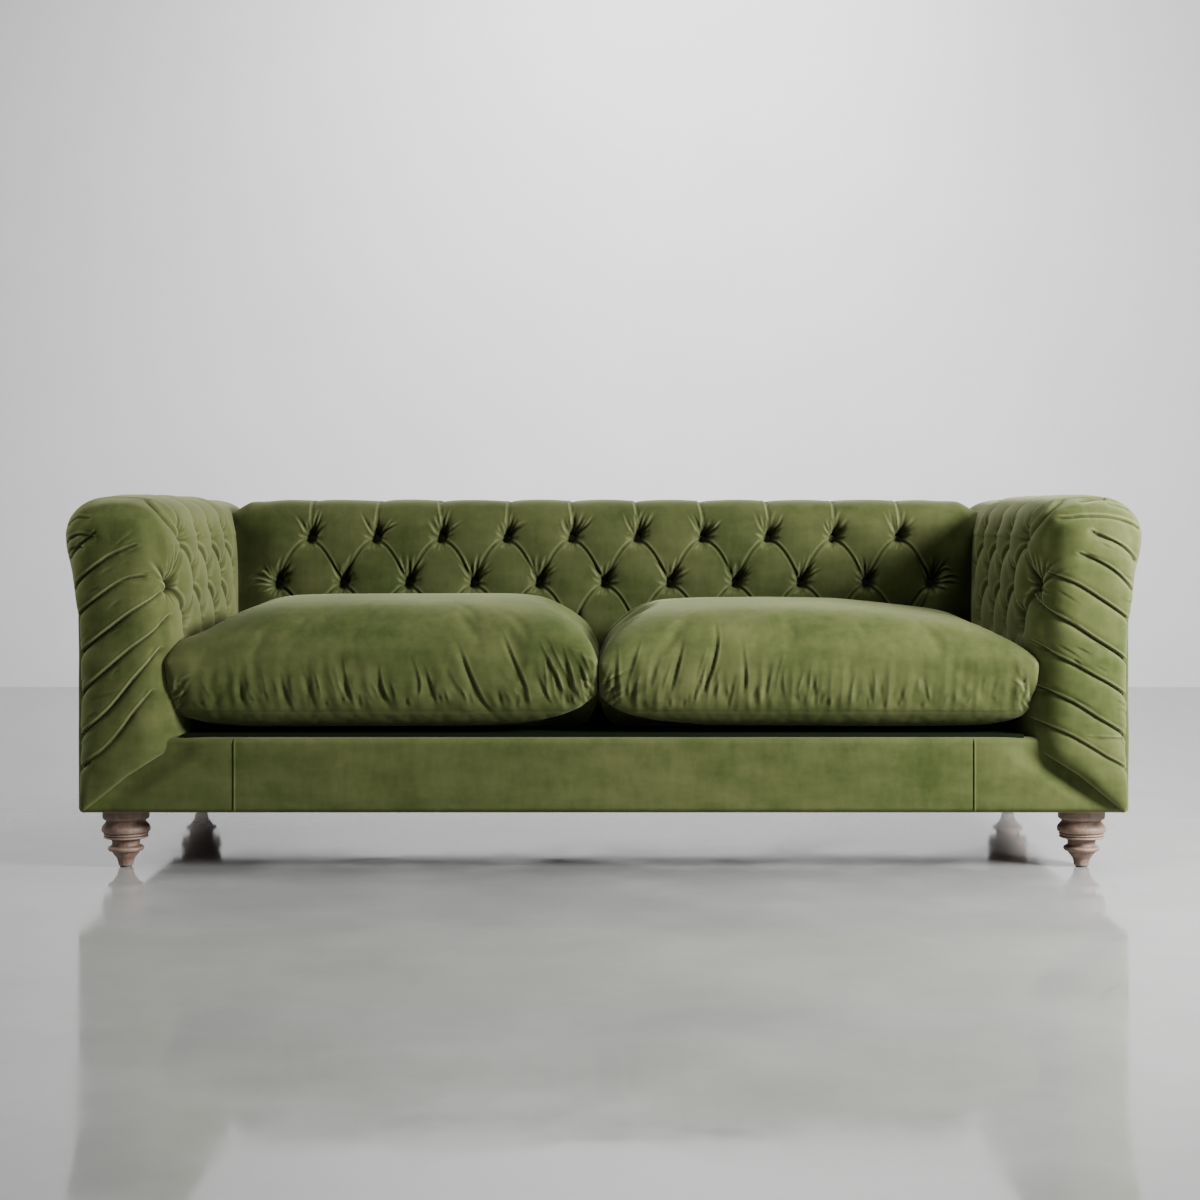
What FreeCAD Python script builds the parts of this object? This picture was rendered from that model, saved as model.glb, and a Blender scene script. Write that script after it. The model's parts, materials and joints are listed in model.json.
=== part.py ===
import FreeCAD, Part
import math
import os
import re
import Sketcher

from FreeCAD import Placement, Rotation, Vector

doc = FreeCAD.newDocument("Sofa")

# Sizes in millimetres and counts. Each alias is one driving dimension.
sheet = doc.addObject("Spreadsheet::Sheet", "Sizes")

sizes = {
    # whole sofa
    "overall_width": 2184,
    "overall_depth": 950,
    "overall_height": 757,
    "arm_width": 243,
    "back_thickness": 315,
    "back_drop": 6,
    "clearance": 0.3,
    "overrun": 5,
    # base frame
    "foot_height": 119,
    "rail_height": 140,
    "rail_thickness": 28,
    "cross_rail_height": 100,
    "block_height": 45,
    "block_length": 84,
    "block_width": 88,
    # border and outer panels
    "border_height": 152,
    "border_thickness": 16,
    "border_round": 6,
    "facing_thickness": 7,
    "facing_edge": 21,
    "panel_thickness": 7,
    "dust_cover_thickness": 1,
    "dust_cover_margin": 8,
    # arm and back rolls
    "roll_overhang": 37,
    "back_roll_overhang": 27,
    "roll_underside_drop": 102,
    "roll_widest_drop": 85,
    "roll_start_drop": 67,
    "roll_lip": 12,
    "arm_face_lean": 11,
    "arm_roll_run": 80,
    "arm_ridge_width": 70,
    "arm_front_round": 75,
    "arm_front_inset": 55,
    "back_face_lean": 24,
    "back_roll_run": 72,
    "back_ridge_width": 118,
    # inner frame of arms and back
    "post_depth": 70,
    "upright_width": 50,
    "top_rail_width": 52,
    "top_rail_height": 28,
    "post_top_drop": 117,
    "tacking_rail_height": 50,
    "tacking_rail_base": 300,
    "webbing_thickness": 2,
    "dowel_diameter": 10,
    "dowel_length": 40,
    "dowel_fit": 0.1,
    "screw_diameter": 5,
    "screw_length": 48,
    "screw_head_diameter": 9,
    "screw_head_height": 2,
    "screw_spacing": 40,
    # deep buttoning
    "button_pitch": 152,
    "button_row_pitch": 106,
    "button_top_row_drop": 90,
    "button_diameter": 22,
    "button_thickness": 7,
    "button_depth": 24,
    "recess_mouth": 52,
    "recess_floor": 25,
    "pleat_depth": 9,
    "pleat_width": 13,
    "front_pleat_depth": 4,
    "front_pleat_width": 9,
    "arm_button_pitch": 150,
    "arm_button_row_pitch": 86,
    "arm_first_button": 95,
    "arm_corner_button_drop": 177,
    # seat
    "spring_count": 10,
    "spring_wire": 4,
    "spring_width": 56,
    "spring_bars": 20,
    "spring_lift": 3.5,
    "clip_length": 20,
    "clip_width": 18,
    "clip_height": 7,
    "platform_height": 276,
    "cushion_height": 277,
    "cushion_middle_gap": 1,
    "cushion_side_gap": 3,
    "cushion_front_setback": 2,
    "cushion_corner_radius": 62,
    "cushion_draw_in": 9,
    "cushion_crown_flat": 65,
    "core_margin": 45,
    "core_height": 150,
    "core_lift": 40,
    # feet
    "foot_side_offset": 79,
    "foot_end_offset": 85,
    "foot_tip_radius": 15,
    "foot_taper_radius": 18,
    "foot_flare_radius": 25,
    "foot_ring_radius": 36,
    "foot_waist_radius": 28,
    "foot_bead_radius": 45,
    "foot_ball_radius": 49,
    "foot_neck_radius": 40,
    "foot_top_radius": 47,
    "foot_taper_height": 17,
    "foot_flare_height": 27,
    "foot_ring_height": 34,
    "foot_ring_thickness": 8,
    "foot_ring_round": 3.2,
    "foot_waist_height": 46,
    "foot_waist_length": 9,
    "foot_bead_height": 61,
    "foot_bead_groove": 3,
    "foot_ball_height": 74,
    "foot_ball_length": 8,
    "foot_ball_round": 6,
    "foot_neck_height": 93,
    "foot_neck_length": 3,
    "foot_top_thickness": 17,
    "glide_thickness": 3,
    "glide_radius": 12,
    "bolt_diameter": 8,
    "bolt_fit": 0.2,
    "bolt_in_foot": 56,
    "nut_flange_radius": 11,
    "nut_flange_thickness": 1.6,
    "nut_barrel_radius": 5.5,
    "nut_barrel_length": 10,
}

# Places that follow from the driving dimensions.
derived = {
    "seat_width": "overall_width - 2 * arm_width",
    "seat_depth": "overall_depth - back_thickness",
    "back_height": "overall_height - back_drop",
    "roll_underside_height": "overall_height - roll_underside_drop",
    "roll_widest_height": "overall_height - roll_widest_drop",
    "roll_start_height": "overall_height - roll_start_drop",
    "post_top_height": "overall_height - post_top_drop",
    "button_top_row_height": "overall_height - button_top_row_drop",
    "arm_corner_button_height": "overall_height - arm_corner_button_drop",
    "front_face": "-overall_depth / 2",
    "border_face": "front_face + facing_thickness",
    "rail_front": "border_face + border_thickness",
    "back_panel_face": "overall_depth / 2 - back_roll_overhang",
    "rail_rear": "back_panel_face - panel_thickness",
    "panel_outer": "overall_width / 2 - roll_overhang",
    "rail_outer": "panel_outer - panel_thickness",
    "rail_inner": "rail_outer - rail_thickness",
    "post_inner": "rail_inner - rail_thickness",
    "rail_top": "foot_height + rail_height",
    "border_top": "foot_height + border_height",
    "block_top": "foot_height + block_height",
    "arm_inner": "seat_width / 2",
    "back_face": "front_face + seat_depth",
    "seat_rail_front": "back_face - rail_thickness",
    "post_front": "rail_front + rail_thickness",
    "upright_front": "rail_rear - rail_thickness",
    "post_rear_start": "upright_front - post_depth",
    "rail_length": "upright_front - post_front",
    "top_rail_inner": "post_inner - (top_rail_width - rail_thickness) / 2",
    "back_rail_half": "arm_inner - panel_thickness",
    "spring_height": "rail_top + spring_lift",
    "platform_base": "rail_top + clip_height + clearance",
    "cushion_base": "platform_height + clearance",
    "foot_side": "panel_outer - foot_side_offset",
    "foot_end": "overall_depth / 2 - foot_end_offset",
}

for row, (alias, value) in enumerate(sizes.items(), start=1):
    sheet.set(f"A{row}", alias)
    sheet.set(f"B{row}", str(value))
    sheet.setAlias(f"B{row}", alias)
for row, (alias, formula) in enumerate(derived.items(), start=len(sizes) + 1):
    sheet.set(f"A{row}", alias)
    sheet.set(f"B{row}", f"={formula}")
    sheet.setAlias(f"B{row}", alias)
doc.recompute()


def size(alias):
    return float(sheet.get(alias))


def bound(formula):
    """The formula with each of its sizes read from the sheet."""
    return re.sub(r"[a-z_]{3,}", lambda word: f"Sizes.{word.group(0)}", str(formula))


subParts = []


def keep(item, label):
    item.Label = label
    subParts.append(item)
    return item


def place(item, corner):
    for axis, formula in zip("xyz", corner):
        item.setExpression(f"Placement.Base.{axis}", bound(formula))


def block(name, corner, lengths):
    box = doc.addObject("Part::Box", name)
    for edge, formula in zip(("Length", "Width", "Height"), lengths):
        box.setExpression(edge, bound(formula))
    place(box, corner)
    return box


def rod(name, foot, radius, length, direction=Vector(0, 0, 1)):
    cylinder = doc.addObject("Part::Cylinder", name)
    cylinder.setExpression("Radius", bound(radius))
    cylinder.setExpression("Height", bound(length))
    cylinder.Placement = Placement(Vector(), Rotation(Vector(0, 0, 1), direction))
    place(cylinder, foot)
    return cylinder


def group(name, members):
    together = doc.addObject("Part::Compound", name)
    together.Links = members
    return together


def drilled(name, solid, holes):
    cut = doc.addObject("Part::Cut", name)
    cut.Base = solid
    cut.Tool = holes[0] if len(holes) == 1 else group(f"{name}_holes", holes)
    return cut


def outlineSketch(body, role, corners):
    """A closed outline of straight edges whose corners stand at sizes of the sheet."""
    sketch = body.newObject("Sketcher::SketchObject", f"{body.Name}_outline")
    plane = next(item for item in body.Origin.OriginFeatures if item.Role == role)
    sketch.AttachmentSupport = [(plane, "")]
    sketch.MapMode = "FlatFace"
    count = len(corners)
    ring = [Vector(math.cos(turn), math.sin(turn), 0) * count
            for turn in (2 * math.pi * index / count for index in range(count))]
    for index in range(count):
        sketch.addGeometry(Part.LineSegment(ring[index], ring[(index + 1) % count]))
    for index in range(count):
        sketch.addConstraint(Sketcher.Constraint("Coincident", index, 2, (index + 1) % count, 1))
    for index, corner in enumerate(corners):
        for kind, axisLine, formula in zip(("DistanceX", "DistanceY"), (-2, -1), corner):
            if formula == "0":
                sketch.addConstraint(Sketcher.Constraint("PointOnObject", index, 1, axisLine))
                continue
            number = sketch.addConstraint(Sketcher.Constraint(kind, -1, 1, index, 1, count + index))
            sketch.setExpression(f"Constraints[{number}]", bound(formula))
    return sketch


def padded(name, role, corners, thickness, corner):
    body = doc.addObject("PartDesign::Body", name)
    sketch = outlineSketch(body, role, corners)
    pad = body.newObject("PartDesign::Pad", f"{name}_pad")
    pad.Profile = sketch
    pad.setExpression("Length", bound(thickness))
    place(body, corner)
    return body, pad


def turned(name, corners):
    body = doc.addObject("PartDesign::Body", name)
    sketch = outlineSketch(body, "XZ_Plane", corners)
    turn = body.newObject("PartDesign::Revolution", f"{name}_turn")
    turn.Profile = sketch
    turn.ReferenceAxis = (sketch, ["V_Axis"])
    turn.Angle = 360
    return body, turn


def rounded(body, base, edges, radius):
    fillet = body.newObject("PartDesign::Fillet", f"{body.Name}_round_{len(body.Group)}")
    fillet.Base = (base, edges)
    fillet.setExpression("Radius", bound(radius))
    body.Tip = fillet
    return fillet


def feature(name, shape):
    item = doc.addObject("Part::Feature", name)
    item.Shape = shape
    return keep(item, name)


sides = {"left": -1, "right": 1}
ends = {"front": -1, "rear": 1}


def across(sign, inner, outer):
    """The lower X of a piece that lies from inner to outer on one side."""
    return inner if sign > 0 else f"-({outer})"


# Base frame: four outer rails, a seat rail under the back's face and a cross rail.
keep(block("front_rail", ("-rail_outer", "rail_front", "foot_height"),
           ("2 * rail_outer", "rail_thickness", "rail_height")), "front_rail")

dowels = []
dowelHole = "dowel_diameter / 2 + dowel_fit"


def dowelled(x, y, height):
    """A dowel half below and half above a joint, and the hole for it."""
    low = f"{height} - dowel_length / 2"
    number = len(dowels)
    dowels.append(rod(f"dowel_{number}", (x, y, low), "dowel_diameter / 2", "dowel_length"))
    return rod(f"dowel_hole_{number}", (x, y, low), dowelHole, "dowel_length")


uprightMiddles = {
    "left": "-back_rail_half + upright_width / 2",
    "centre": "0",
    "right": "back_rail_half - upright_width / 2",
}
uprightLine = "rail_rear - rail_thickness / 2"
uprightFeet = []
uprightHeads = []
for name, middle in uprightMiddles.items():
    pair = [f"{middle} {shift} upright_width / 4" for shift in "-+"]
    feet = [dowelled(x, uprightLine, "rail_top") for x in pair]
    heads = [dowelled(x, uprightLine, "post_top_height") for x in pair]
    post = block(f"back_upright_{name}_blank",
                 (f"{middle} - upright_width / 2", "upright_front", "rail_top"),
                 ("upright_width", "rail_thickness", "post_top_height - rail_top"))
    keep(drilled(f"back_upright_{name}", post, feet + heads), f"back_upright_{name}")
    uprightFeet += feet
    uprightHeads += heads

rearBlank = block("rear_rail_blank", ("-rail_outer", "upright_front", "foot_height"),
                  ("2 * rail_outer", "rail_thickness", "rail_height"))
keep(drilled("rear_rail", rearBlank, uprightFeet), "rear_rail")

topBlank = block("back_top_rail_blank", ("-back_rail_half", "rail_rear - top_rail_width", "post_top_height"),
                 ("2 * back_rail_half", "top_rail_width", "top_rail_height"))
keep(drilled("back_top_rail", topBlank, uprightHeads), "back_top_rail")

keep(block("back_tacking_rail", ("-back_rail_half", "upright_front - rail_thickness", "tacking_rail_base"),
           ("2 * back_rail_half", "rail_thickness", "tacking_rail_height")), "back_tacking_rail")

keep(block("back_webbing",
           ("-back_rail_half", "upright_front - webbing_thickness", "tacking_rail_base + tacking_rail_height"),
           ("2 * back_rail_half", "webbing_thickness",
            "post_top_height - tacking_rail_base - tacking_rail_height")), "back_webbing")

keep(block("seat_rear_rail", ("-rail_inner", "seat_rail_front", "foot_height"),
           ("2 * rail_inner", "rail_thickness", "rail_height")), "seat_rear_rail")

keep(block("seat_cross_rail", ("-rail_thickness / 2", "post_front", "foot_height"),
           ("rail_thickness", "seat_rail_front - post_front", "cross_rail_height")), "seat_cross_rail")

# Arm frames: each post is screwed to the side rail and doweled to the arm's top rail.
screws = []
screwHole = "screw_diameter / 2 + dowel_fit"
postStarts = {"front": "post_front", "rear": "post_rear_start"}
for side, sign in sides.items():
    outward = Vector(sign, 0, 0)
    railHoles = []
    railHeads = []
    for end, start in postStarts.items():
        middle = f"{start} + post_depth / 2"
        holes = []
        for step in (1, 2):
            spot = (f"{sign} * post_inner", middle, f"block_top + {step} * screw_spacing - screw_spacing / 4")
            label = f"{side}_{end}_{step}"
            shank = rod(f"screw_shank_{label}", spot, "screw_diameter / 2", "screw_length", outward)
            headSpot = (f"{sign} * (post_inner - screw_head_height)", spot[1], spot[2])
            head = rod(f"screw_head_{label}", headSpot, "screw_head_diameter / 2",
                       "screw_head_height", outward)
            screw = doc.addObject("Part::Fuse", f"screw_{label}")
            screw.Base = shank
            screw.Tool = head
            screws.append(screw)
            holes.append(rod(f"screw_hole_{label}", spot, screwHole, "screw_length + clearance", outward))
        railHoles += holes
        heads = [dowelled(f"{sign} * (post_inner + rail_thickness / 2)", f"{middle} {shift} post_depth / 4",
                          "post_top_height") for shift in "-+"]
        railHeads += heads
        post = block(f"arm_post_{end}_{side}_blank",
                     (across(sign, "post_inner", "rail_inner"), start, "block_top"),
                     ("rail_thickness", "post_depth", "post_top_height - block_top"))
        label = f"arm_post_{end}_{side}"
        keep(drilled(label, post, holes + heads), label)
    sideBlank = block(f"side_rail_{side}_blank",
                      (across(sign, "rail_inner", "rail_outer"), "post_front", "foot_height"),
                      ("rail_thickness", "rail_length", "rail_height"))
    keep(drilled(f"side_rail_{side}", sideBlank, railHoles), f"side_rail_{side}")
    armTop = block(f"arm_top_rail_{side}_blank",
                   (across(sign, "top_rail_inner", "top_rail_inner + top_rail_width"), "post_front",
                    "post_top_height"),
                   ("top_rail_width", "rail_length", "top_rail_height"))
    keep(drilled(f"arm_top_rail_{side}", armTop, railHeads), f"arm_top_rail_{side}")
    keep(block(f"arm_tacking_rail_{side}",
               (across(sign, "post_inner", "rail_inner"), "post_front + post_depth", "tacking_rail_base"),
               ("rail_thickness", "rail_length - 2 * post_depth", "tacking_rail_height")),
         f"arm_tacking_rail_{side}")

keep(group("frame_dowels", dowels), "frame_dowels")
keep(group("frame_screws", screws), "frame_screws")

# Feet with their bolts, nuts and glides, and the corner blocks that hold them.
footOutline = [
    ("0", "glide_thickness"),
    ("foot_tip_radius", "glide_thickness"),
    ("foot_taper_radius", "foot_taper_height"),
    ("foot_flare_radius", "foot_flare_height"),
    ("foot_ring_radius", "foot_ring_height"),
    ("foot_ring_radius", "foot_ring_height + foot_ring_thickness"),
    ("foot_waist_radius", "foot_waist_height"),
    ("foot_waist_radius", "foot_waist_height + foot_waist_length"),
    ("foot_bead_radius", "foot_bead_height"),
    ("foot_bead_radius - foot_bead_groove", "foot_bead_height + foot_bead_groove"),
    ("foot_bead_radius", "foot_bead_height + 2 * foot_bead_groove"),
    ("foot_bead_radius - foot_bead_groove / 2", "foot_bead_height + 3 * foot_bead_groove"),
    ("foot_ball_radius", "foot_ball_height"),
    ("foot_ball_radius", "foot_ball_height + foot_ball_length"),
    ("foot_neck_radius", "foot_neck_height"),
    ("foot_neck_radius", "foot_neck_height + foot_neck_length"),
    ("foot_top_radius", "foot_height - foot_top_thickness"),
    ("foot_top_radius", "foot_height"),
    ("0", "foot_height"),
]


def edgesAt(shape, radius, heights):
    """The round edges of a turned piece with this radius at these heights."""
    found = []
    for number, edge in enumerate(shape.Edges, start=1):
        curve = edge.Curve
        if isinstance(curve, Part.Circle) and math.isclose(curve.Radius, radius, rel_tol=1e-4):
            if any(math.isclose(curve.Center.z, height, rel_tol=1e-4) for height in heights):
                found.append(f"Edge{number}")
    return found


bolts = []
nuts = []
glides = []
blocks = []
for end, lengthSign in ends.items():
    for side, sign in sides.items():
        label = f"foot_{end}_{side}"
        spot = (f"{sign} * foot_side", f"{lengthSign} * foot_end")
        foot, turn = turned(label, footOutline)
        doc.recompute()
        ringHeights = (size("foot_ring_height"), size("foot_ring_height") + size("foot_ring_thickness"))
        ring = edgesAt(turn.Shape, size("foot_ring_radius"), ringHeights)
        turn = rounded(foot, turn, ring, "foot_ring_round")
        doc.recompute()
        ballHeights = (size("foot_ball_height"), size("foot_ball_height") + size("foot_ball_length"))
        ball = edgesAt(turn.Shape, size("foot_ball_radius"), ballHeights)
        turn = rounded(foot, turn, ball, "foot_ball_round")
        bore = foot.newObject("Sketcher::SketchObject", f"{label}_bore_outline")
        plane = next(item for item in foot.Origin.OriginFeatures if item.Role == "XY_Plane")
        bore.AttachmentSupport = [(plane, "")]
        bore.MapMode = "FlatFace"
        bore.setExpression("AttachmentOffset.Base.z", bound("foot_height"))
        bore.addGeometry(Part.Circle(Vector(), Vector(0, 0, 1), 1))
        bore.addConstraint(Sketcher.Constraint("Coincident", 0, 3, -1, 1))
        radius = bore.addConstraint(Sketcher.Constraint("Radius", 0, 1))
        bore.setExpression(f"Constraints[{radius}]", bound("bolt_diameter / 2 + bolt_fit"))
        pocket = foot.newObject("PartDesign::Pocket", f"{label}_bore")
        pocket.Profile = bore
        pocket.setExpression("Length", bound("bolt_in_foot"))
        foot.Tip = pocket
        place(foot, spot)
        keep(foot, label)

        bolts.append(rod(f"bolt_{end}_{side}", spot + ("foot_height - bolt_in_foot",), "bolt_diameter / 2",
                         "bolt_in_foot + block_height"))
        glides.append(rod(f"glide_{end}_{side}", spot + ("0",), "glide_radius", "glide_thickness"))

        flange = rod(f"nut_flange_{end}_{side}", spot + ("block_top",), "nut_flange_radius",
                     "nut_flange_thickness")
        barrel = rod(f"nut_barrel_{end}_{side}", spot + ("block_top - nut_barrel_length",), "nut_barrel_radius",
                     "nut_barrel_length")
        nutBlank = doc.addObject("Part::Fuse", f"nut_blank_{end}_{side}")
        nutBlank.Base = flange
        nutBlank.Tool = barrel
        thread = rod(f"nut_thread_{end}_{side}", spot + ("block_top - nut_barrel_length - overrun",),
                     "bolt_diameter / 2 + bolt_fit", "nut_barrel_length + nut_flange_thickness + 2 * overrun")
        nuts.append(drilled(f"nut_{end}_{side}", nutBlank, [thread]))

        blockStart = "post_front" if lengthSign < 0 else "upright_front - block_length"
        blank = block(f"block_{end}_{side}_blank",
                      (across(sign, "rail_inner - block_width", "rail_inner"), blockStart, "foot_height"),
                      ("block_width", "block_length", "block_height"))
        through = rod(f"block_{end}_{side}_bore", spot + ("foot_height - overrun",),
                      "bolt_diameter / 2 + bolt_fit", "block_height + 2 * overrun")
        seat = rod(f"block_{end}_{side}_seat", spot + ("block_top - nut_barrel_length",),
                   "nut_barrel_radius", "nut_barrel_length + overrun")
        blocks.append(drilled(f"block_{end}_{side}", blank, [through, seat]))

keep(group("hanger_bolts", bolts), "hanger_bolts")
keep(group("tee_nuts", nuts), "tee_nuts")
keep(group("foot_glides", glides), "foot_glides")
keep(group("corner_blocks", blocks), "corner_blocks")

# Border under the cushions, outer panels and dust cover.
border, borderPad = padded("front_border", "YZ_Plane",
                           [("0", "0"), ("border_thickness", "0"), ("border_thickness", "border_height"),
                            ("0", "border_height")],
                           "2 * rail_outer", ("-rail_outer", "border_face", "foot_height"))
doc.recompute()
topEdge = [f"Edge{number}" for number, edge in enumerate(borderPad.Shape.Edges, start=1)
           if edge.Length > size("border_height") * 2
           and math.isclose(edge.CenterOfMass.z, size("border_height"), rel_tol=1e-4)
           and edge.CenterOfMass.y < size("border_round")]
rounded(border, borderPad, topEdge, "border_round")
keep(border, "front_border")

panelHeight = "roll_underside_height - foot_height"
panelRun = "rail_rear - border_face"
for side, sign in sides.items():
    label = f"outside_arm_panel_{side}"
    panel, panelPad = padded(label, "YZ_Plane",
                             [("0", "0"), (panelRun, "0"), (panelRun, panelHeight), ("0", panelHeight)],
                             "panel_thickness",
                             (across(sign, "rail_outer", "panel_outer"), "border_face", "foot_height"))
    keep(panel, label)
backPanel, backPanelPad = padded("outside_back_panel", "XZ_Plane",
                                 [("0", "0"), ("2 * panel_outer", "0"), ("2 * panel_outer", panelHeight),
                                  ("0", panelHeight)],
                                 "panel_thickness", ("-panel_outer", "back_panel_face", "foot_height"))
keep(backPanel, "outside_back_panel")

cover = block("dust_cover_blank",
              ("-rail_outer + dust_cover_margin", "rail_front + dust_cover_margin",
               "foot_height - dust_cover_thickness"),
              ("2 * (rail_outer - dust_cover_margin)", "rail_rear - rail_front - 2 * dust_cover_margin",
               "dust_cover_thickness"))
footHoles = [rod(f"cover_hole_{end}_{side}",
                 (f"{sign} * foot_side", f"{lengthSign} * foot_end", "foot_height - overrun"),
                 "foot_top_radius + clearance", "2 * overrun")
             for end, lengthSign in ends.items() for side, sign in sides.items()]
keep(drilled("dust_cover", cover, footHoles), "dust_cover")

# Seat platform, and the zigzag springs and clips below it.
keep(block("seat_platform", ("-arm_inner + cushion_side_gap", "rail_front", "platform_base"),
           ("2 * (arm_inner - cushion_side_gap)", "back_face - rail_front - clearance",
            "platform_height - platform_base")), "seat_platform")

springFront = size("rail_front") + size("rail_thickness") / 2
springRear = size("seat_rail_front") + size("rail_thickness") / 2
springCount = int(size("spring_count"))
barCount = int(size("spring_bars"))
springPitch = (springRear - springFront) / barCount
barHalf = (size("spring_width") - springPitch) / 2
wireRadius = size("spring_wire") / 2


def zigzagSpring():
    edges = []
    hand = 1
    for bar in range(barCount + 1):
        y = springFront + bar * springPitch
        near = Vector(-hand * barHalf, y, 0)
        far = Vector(hand * barHalf, y, 0)
        edges.append(Part.LineSegment(near, far).toShape())
        if bar < barCount:
            bend = Vector(hand * (barHalf + springPitch / 2), y + springPitch / 2, 0)
            following = Vector(hand * barHalf, y + springPitch, 0)
            edges.append(Part.Arc(far, bend, following).toShape())
        hand = -hand
    path = Part.Wire(edges)
    ring = Part.Wire(Part.makeCircle(wireRadius, Vector(-barHalf, springFront, 0), Vector(1, 0, 0)))
    return path.makePipeShell([ring], True, False)


def springClip(y):
    length = size("clip_length")
    width = size("clip_width")
    body = Part.makeBox(width, length, size("clip_height"),
                        Vector(-width / 2, y - length / 2, size("rail_top")))
    bore = Part.makeCylinder(wireRadius + size("dowel_fit"), width + 2 * size("overrun"),
                             Vector(-width / 2 - size("overrun"), y, size("spring_height")), Vector(1, 0, 0))
    return body.cut(bore)


spring = zigzagSpring()
spring.translate(Vector(0, 0, size("spring_height")))
clips = [springClip(springFront), springClip(springRear)]
springSpan = 2 * size("arm_inner") / springCount
springs = []
springClips = []
for number in range(springCount):
    shift = Vector((number + 0.5) * springSpan - size("arm_inner"), 0, 0)
    springs.append(spring.translated(shift))
    springClips += [clip.translated(shift) for clip in clips]
feature("seat_springs", Part.makeCompound(springs))
feature("spring_clips", Part.makeCompound(springClips))


# Deep buttoning: a cone sinks each button and V-shaped pleats join the buttons.
def pleat(start, end, outward, depth, width):
    along = end - start
    sideways = along.cross(outward).normalize()
    over = size("overrun")
    half = width / 2 * (depth + over) / depth
    rim = [start + outward * over + sideways * half, start + outward * over - sideways * half,
           start - outward * depth]
    return Part.Face(Part.makePolygon(rim + rim[:1])).extrude(along)


def tuftPleat(start, end, outward):
    return pleat(start, end, outward, size("pleat_depth"), size("pleat_width"))


def recess(centre, outward):
    depth = size("button_depth")
    floor = size("recess_floor") / 2
    mouth = size("recess_mouth") / 2
    over = size("overrun")
    wide = floor + (mouth - floor) * (depth + over) / depth
    return Part.makeCone(floor, wide, depth + over, centre - outward * depth, outward)


def button(centre, outward):
    radius = size("button_diameter") / 2
    thickness = size("button_thickness")
    domeShare = 0.6
    dome = thickness * domeShare
    domeRadius = (radius ** 2 + dome ** 2) / (2 * dome)
    ball = Part.makeSphere(domeRadius, Vector(0, 0, thickness - domeRadius))
    shape = Part.makeCylinder(radius, thickness).common(ball)
    shape.Placement = Placement(centre - outward * size("button_depth"),
                                Rotation(Vector(0, 0, 1), outward))
    return shape


def rollPleats(start, stops, inside):
    """Pleats that climb over a roll along the chords between its stops, each running on past its ends."""
    tools = []
    points = [start] + stops
    for low, high in zip(points, points[1:]):
        outward = (low + high) / 2 - inside
        along = (high - low).normalize()
        outward = (outward - along * outward.dot(along)).normalize()
        past = along * size("overrun")
        tools.append(tuftPleat(low - past, high + past, outward))
    return tools


def rowHeights(rowPitch):
    return [size("button_top_row_height") - row * rowPitch for row in range(3)]


rise = size("roll_start_height") - size("rail_top")


# Back pad: a leaning face, a round top roll and a lip over the outside back panel.
def backPoint(x, height):
    share = (height - size("rail_top")) / rise
    return Vector(x, size("back_face") + size("back_face_lean") * share, height)


rollRiseShare = 0.74
rollRunShare = 0.27
backTop = size("back_height")
ridgeFront = size("back_face") + size("back_face_lean") + size("back_roll_run")
ridgeRear = ridgeFront + size("back_ridge_width")
lipRear = size("overall_depth") / 2
rearBulgeShare = 0.72
rearDropShare = 0.3


def backSection(x):
    foot = backPoint(x, size("rail_top"))
    start = backPoint(x, size("roll_start_height"))
    crown = Vector(x, ridgeFront, backTop)
    shoulder = Vector(x, start.y + (ridgeFront - start.y) * rollRunShare,
                      start.z + (backTop - start.z) * rollRiseShare)
    heel = Vector(x, ridgeRear, backTop)
    widest = Vector(x, lipRear, size("roll_widest_height"))
    rearShoulder = Vector(x, ridgeRear + (lipRear - ridgeRear) * rearBulgeShare,
                          backTop - (backTop - widest.z) * rearDropShare)
    tuck = Vector(x, lipRear - size("roll_lip"), size("roll_underside_height"))
    under = Vector(x, size("rail_rear"), size("roll_underside_height"))
    base = Vector(x, size("rail_rear"), size("rail_top"))
    return Part.Wire([
        Part.LineSegment(foot, start).toShape(),
        Part.Arc(start, shoulder, crown).toShape(),
        Part.LineSegment(crown, heel).toShape(),
        Part.Arc(heel, rearShoulder, widest).toShape(),
        Part.LineSegment(widest, tuck).toShape(),
        Part.LineSegment(tuck, under).toShape(),
        Part.LineSegment(under, base).toShape(),
        Part.LineSegment(base, foot).toShape(),
    ])


backHalf = size("arm_inner") - size("clearance")
backBlank = Part.Face(backSection(-backHalf)).extrude(Vector(2 * backHalf, 0, 0))
railHalf = size("back_rail_half")
uprightFront = size("upright_front")
webFront = uprightFront - size("webbing_thickness")
backSlots = [
    Part.makeBox(2 * railHalf, size("rail_rear") - webFront, size("post_top_height") - size("rail_top"),
                 Vector(-railHalf, webFront, size("rail_top"))),
    Part.makeBox(2 * railHalf, size("top_rail_width"), size("top_rail_height"),
                 Vector(-railHalf, size("rail_rear") - size("top_rail_width"), size("post_top_height"))),
    Part.makeBox(2 * railHalf, size("rail_thickness"), size("tacking_rail_height"),
                 Vector(-railHalf, uprightFront - size("rail_thickness"), size("tacking_rail_base"))),
]

backOutward = Vector(0, -rise, size("back_face_lean")).normalize()
pitch = size("button_pitch")
buttonSpace = backHalf - size("recess_mouth") / 2
backRows = []
for row, height in enumerate(rowHeights(size("button_row_pitch"))):
    offset = 0 if row == 1 else 0.5
    reach = int(buttonSpace / pitch - offset)
    places = [(index + offset) * pitch for index in range(-reach - (1 if offset else 0), reach + 1)]
    backRows.append([backPoint(x, height) for x in places])

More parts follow.
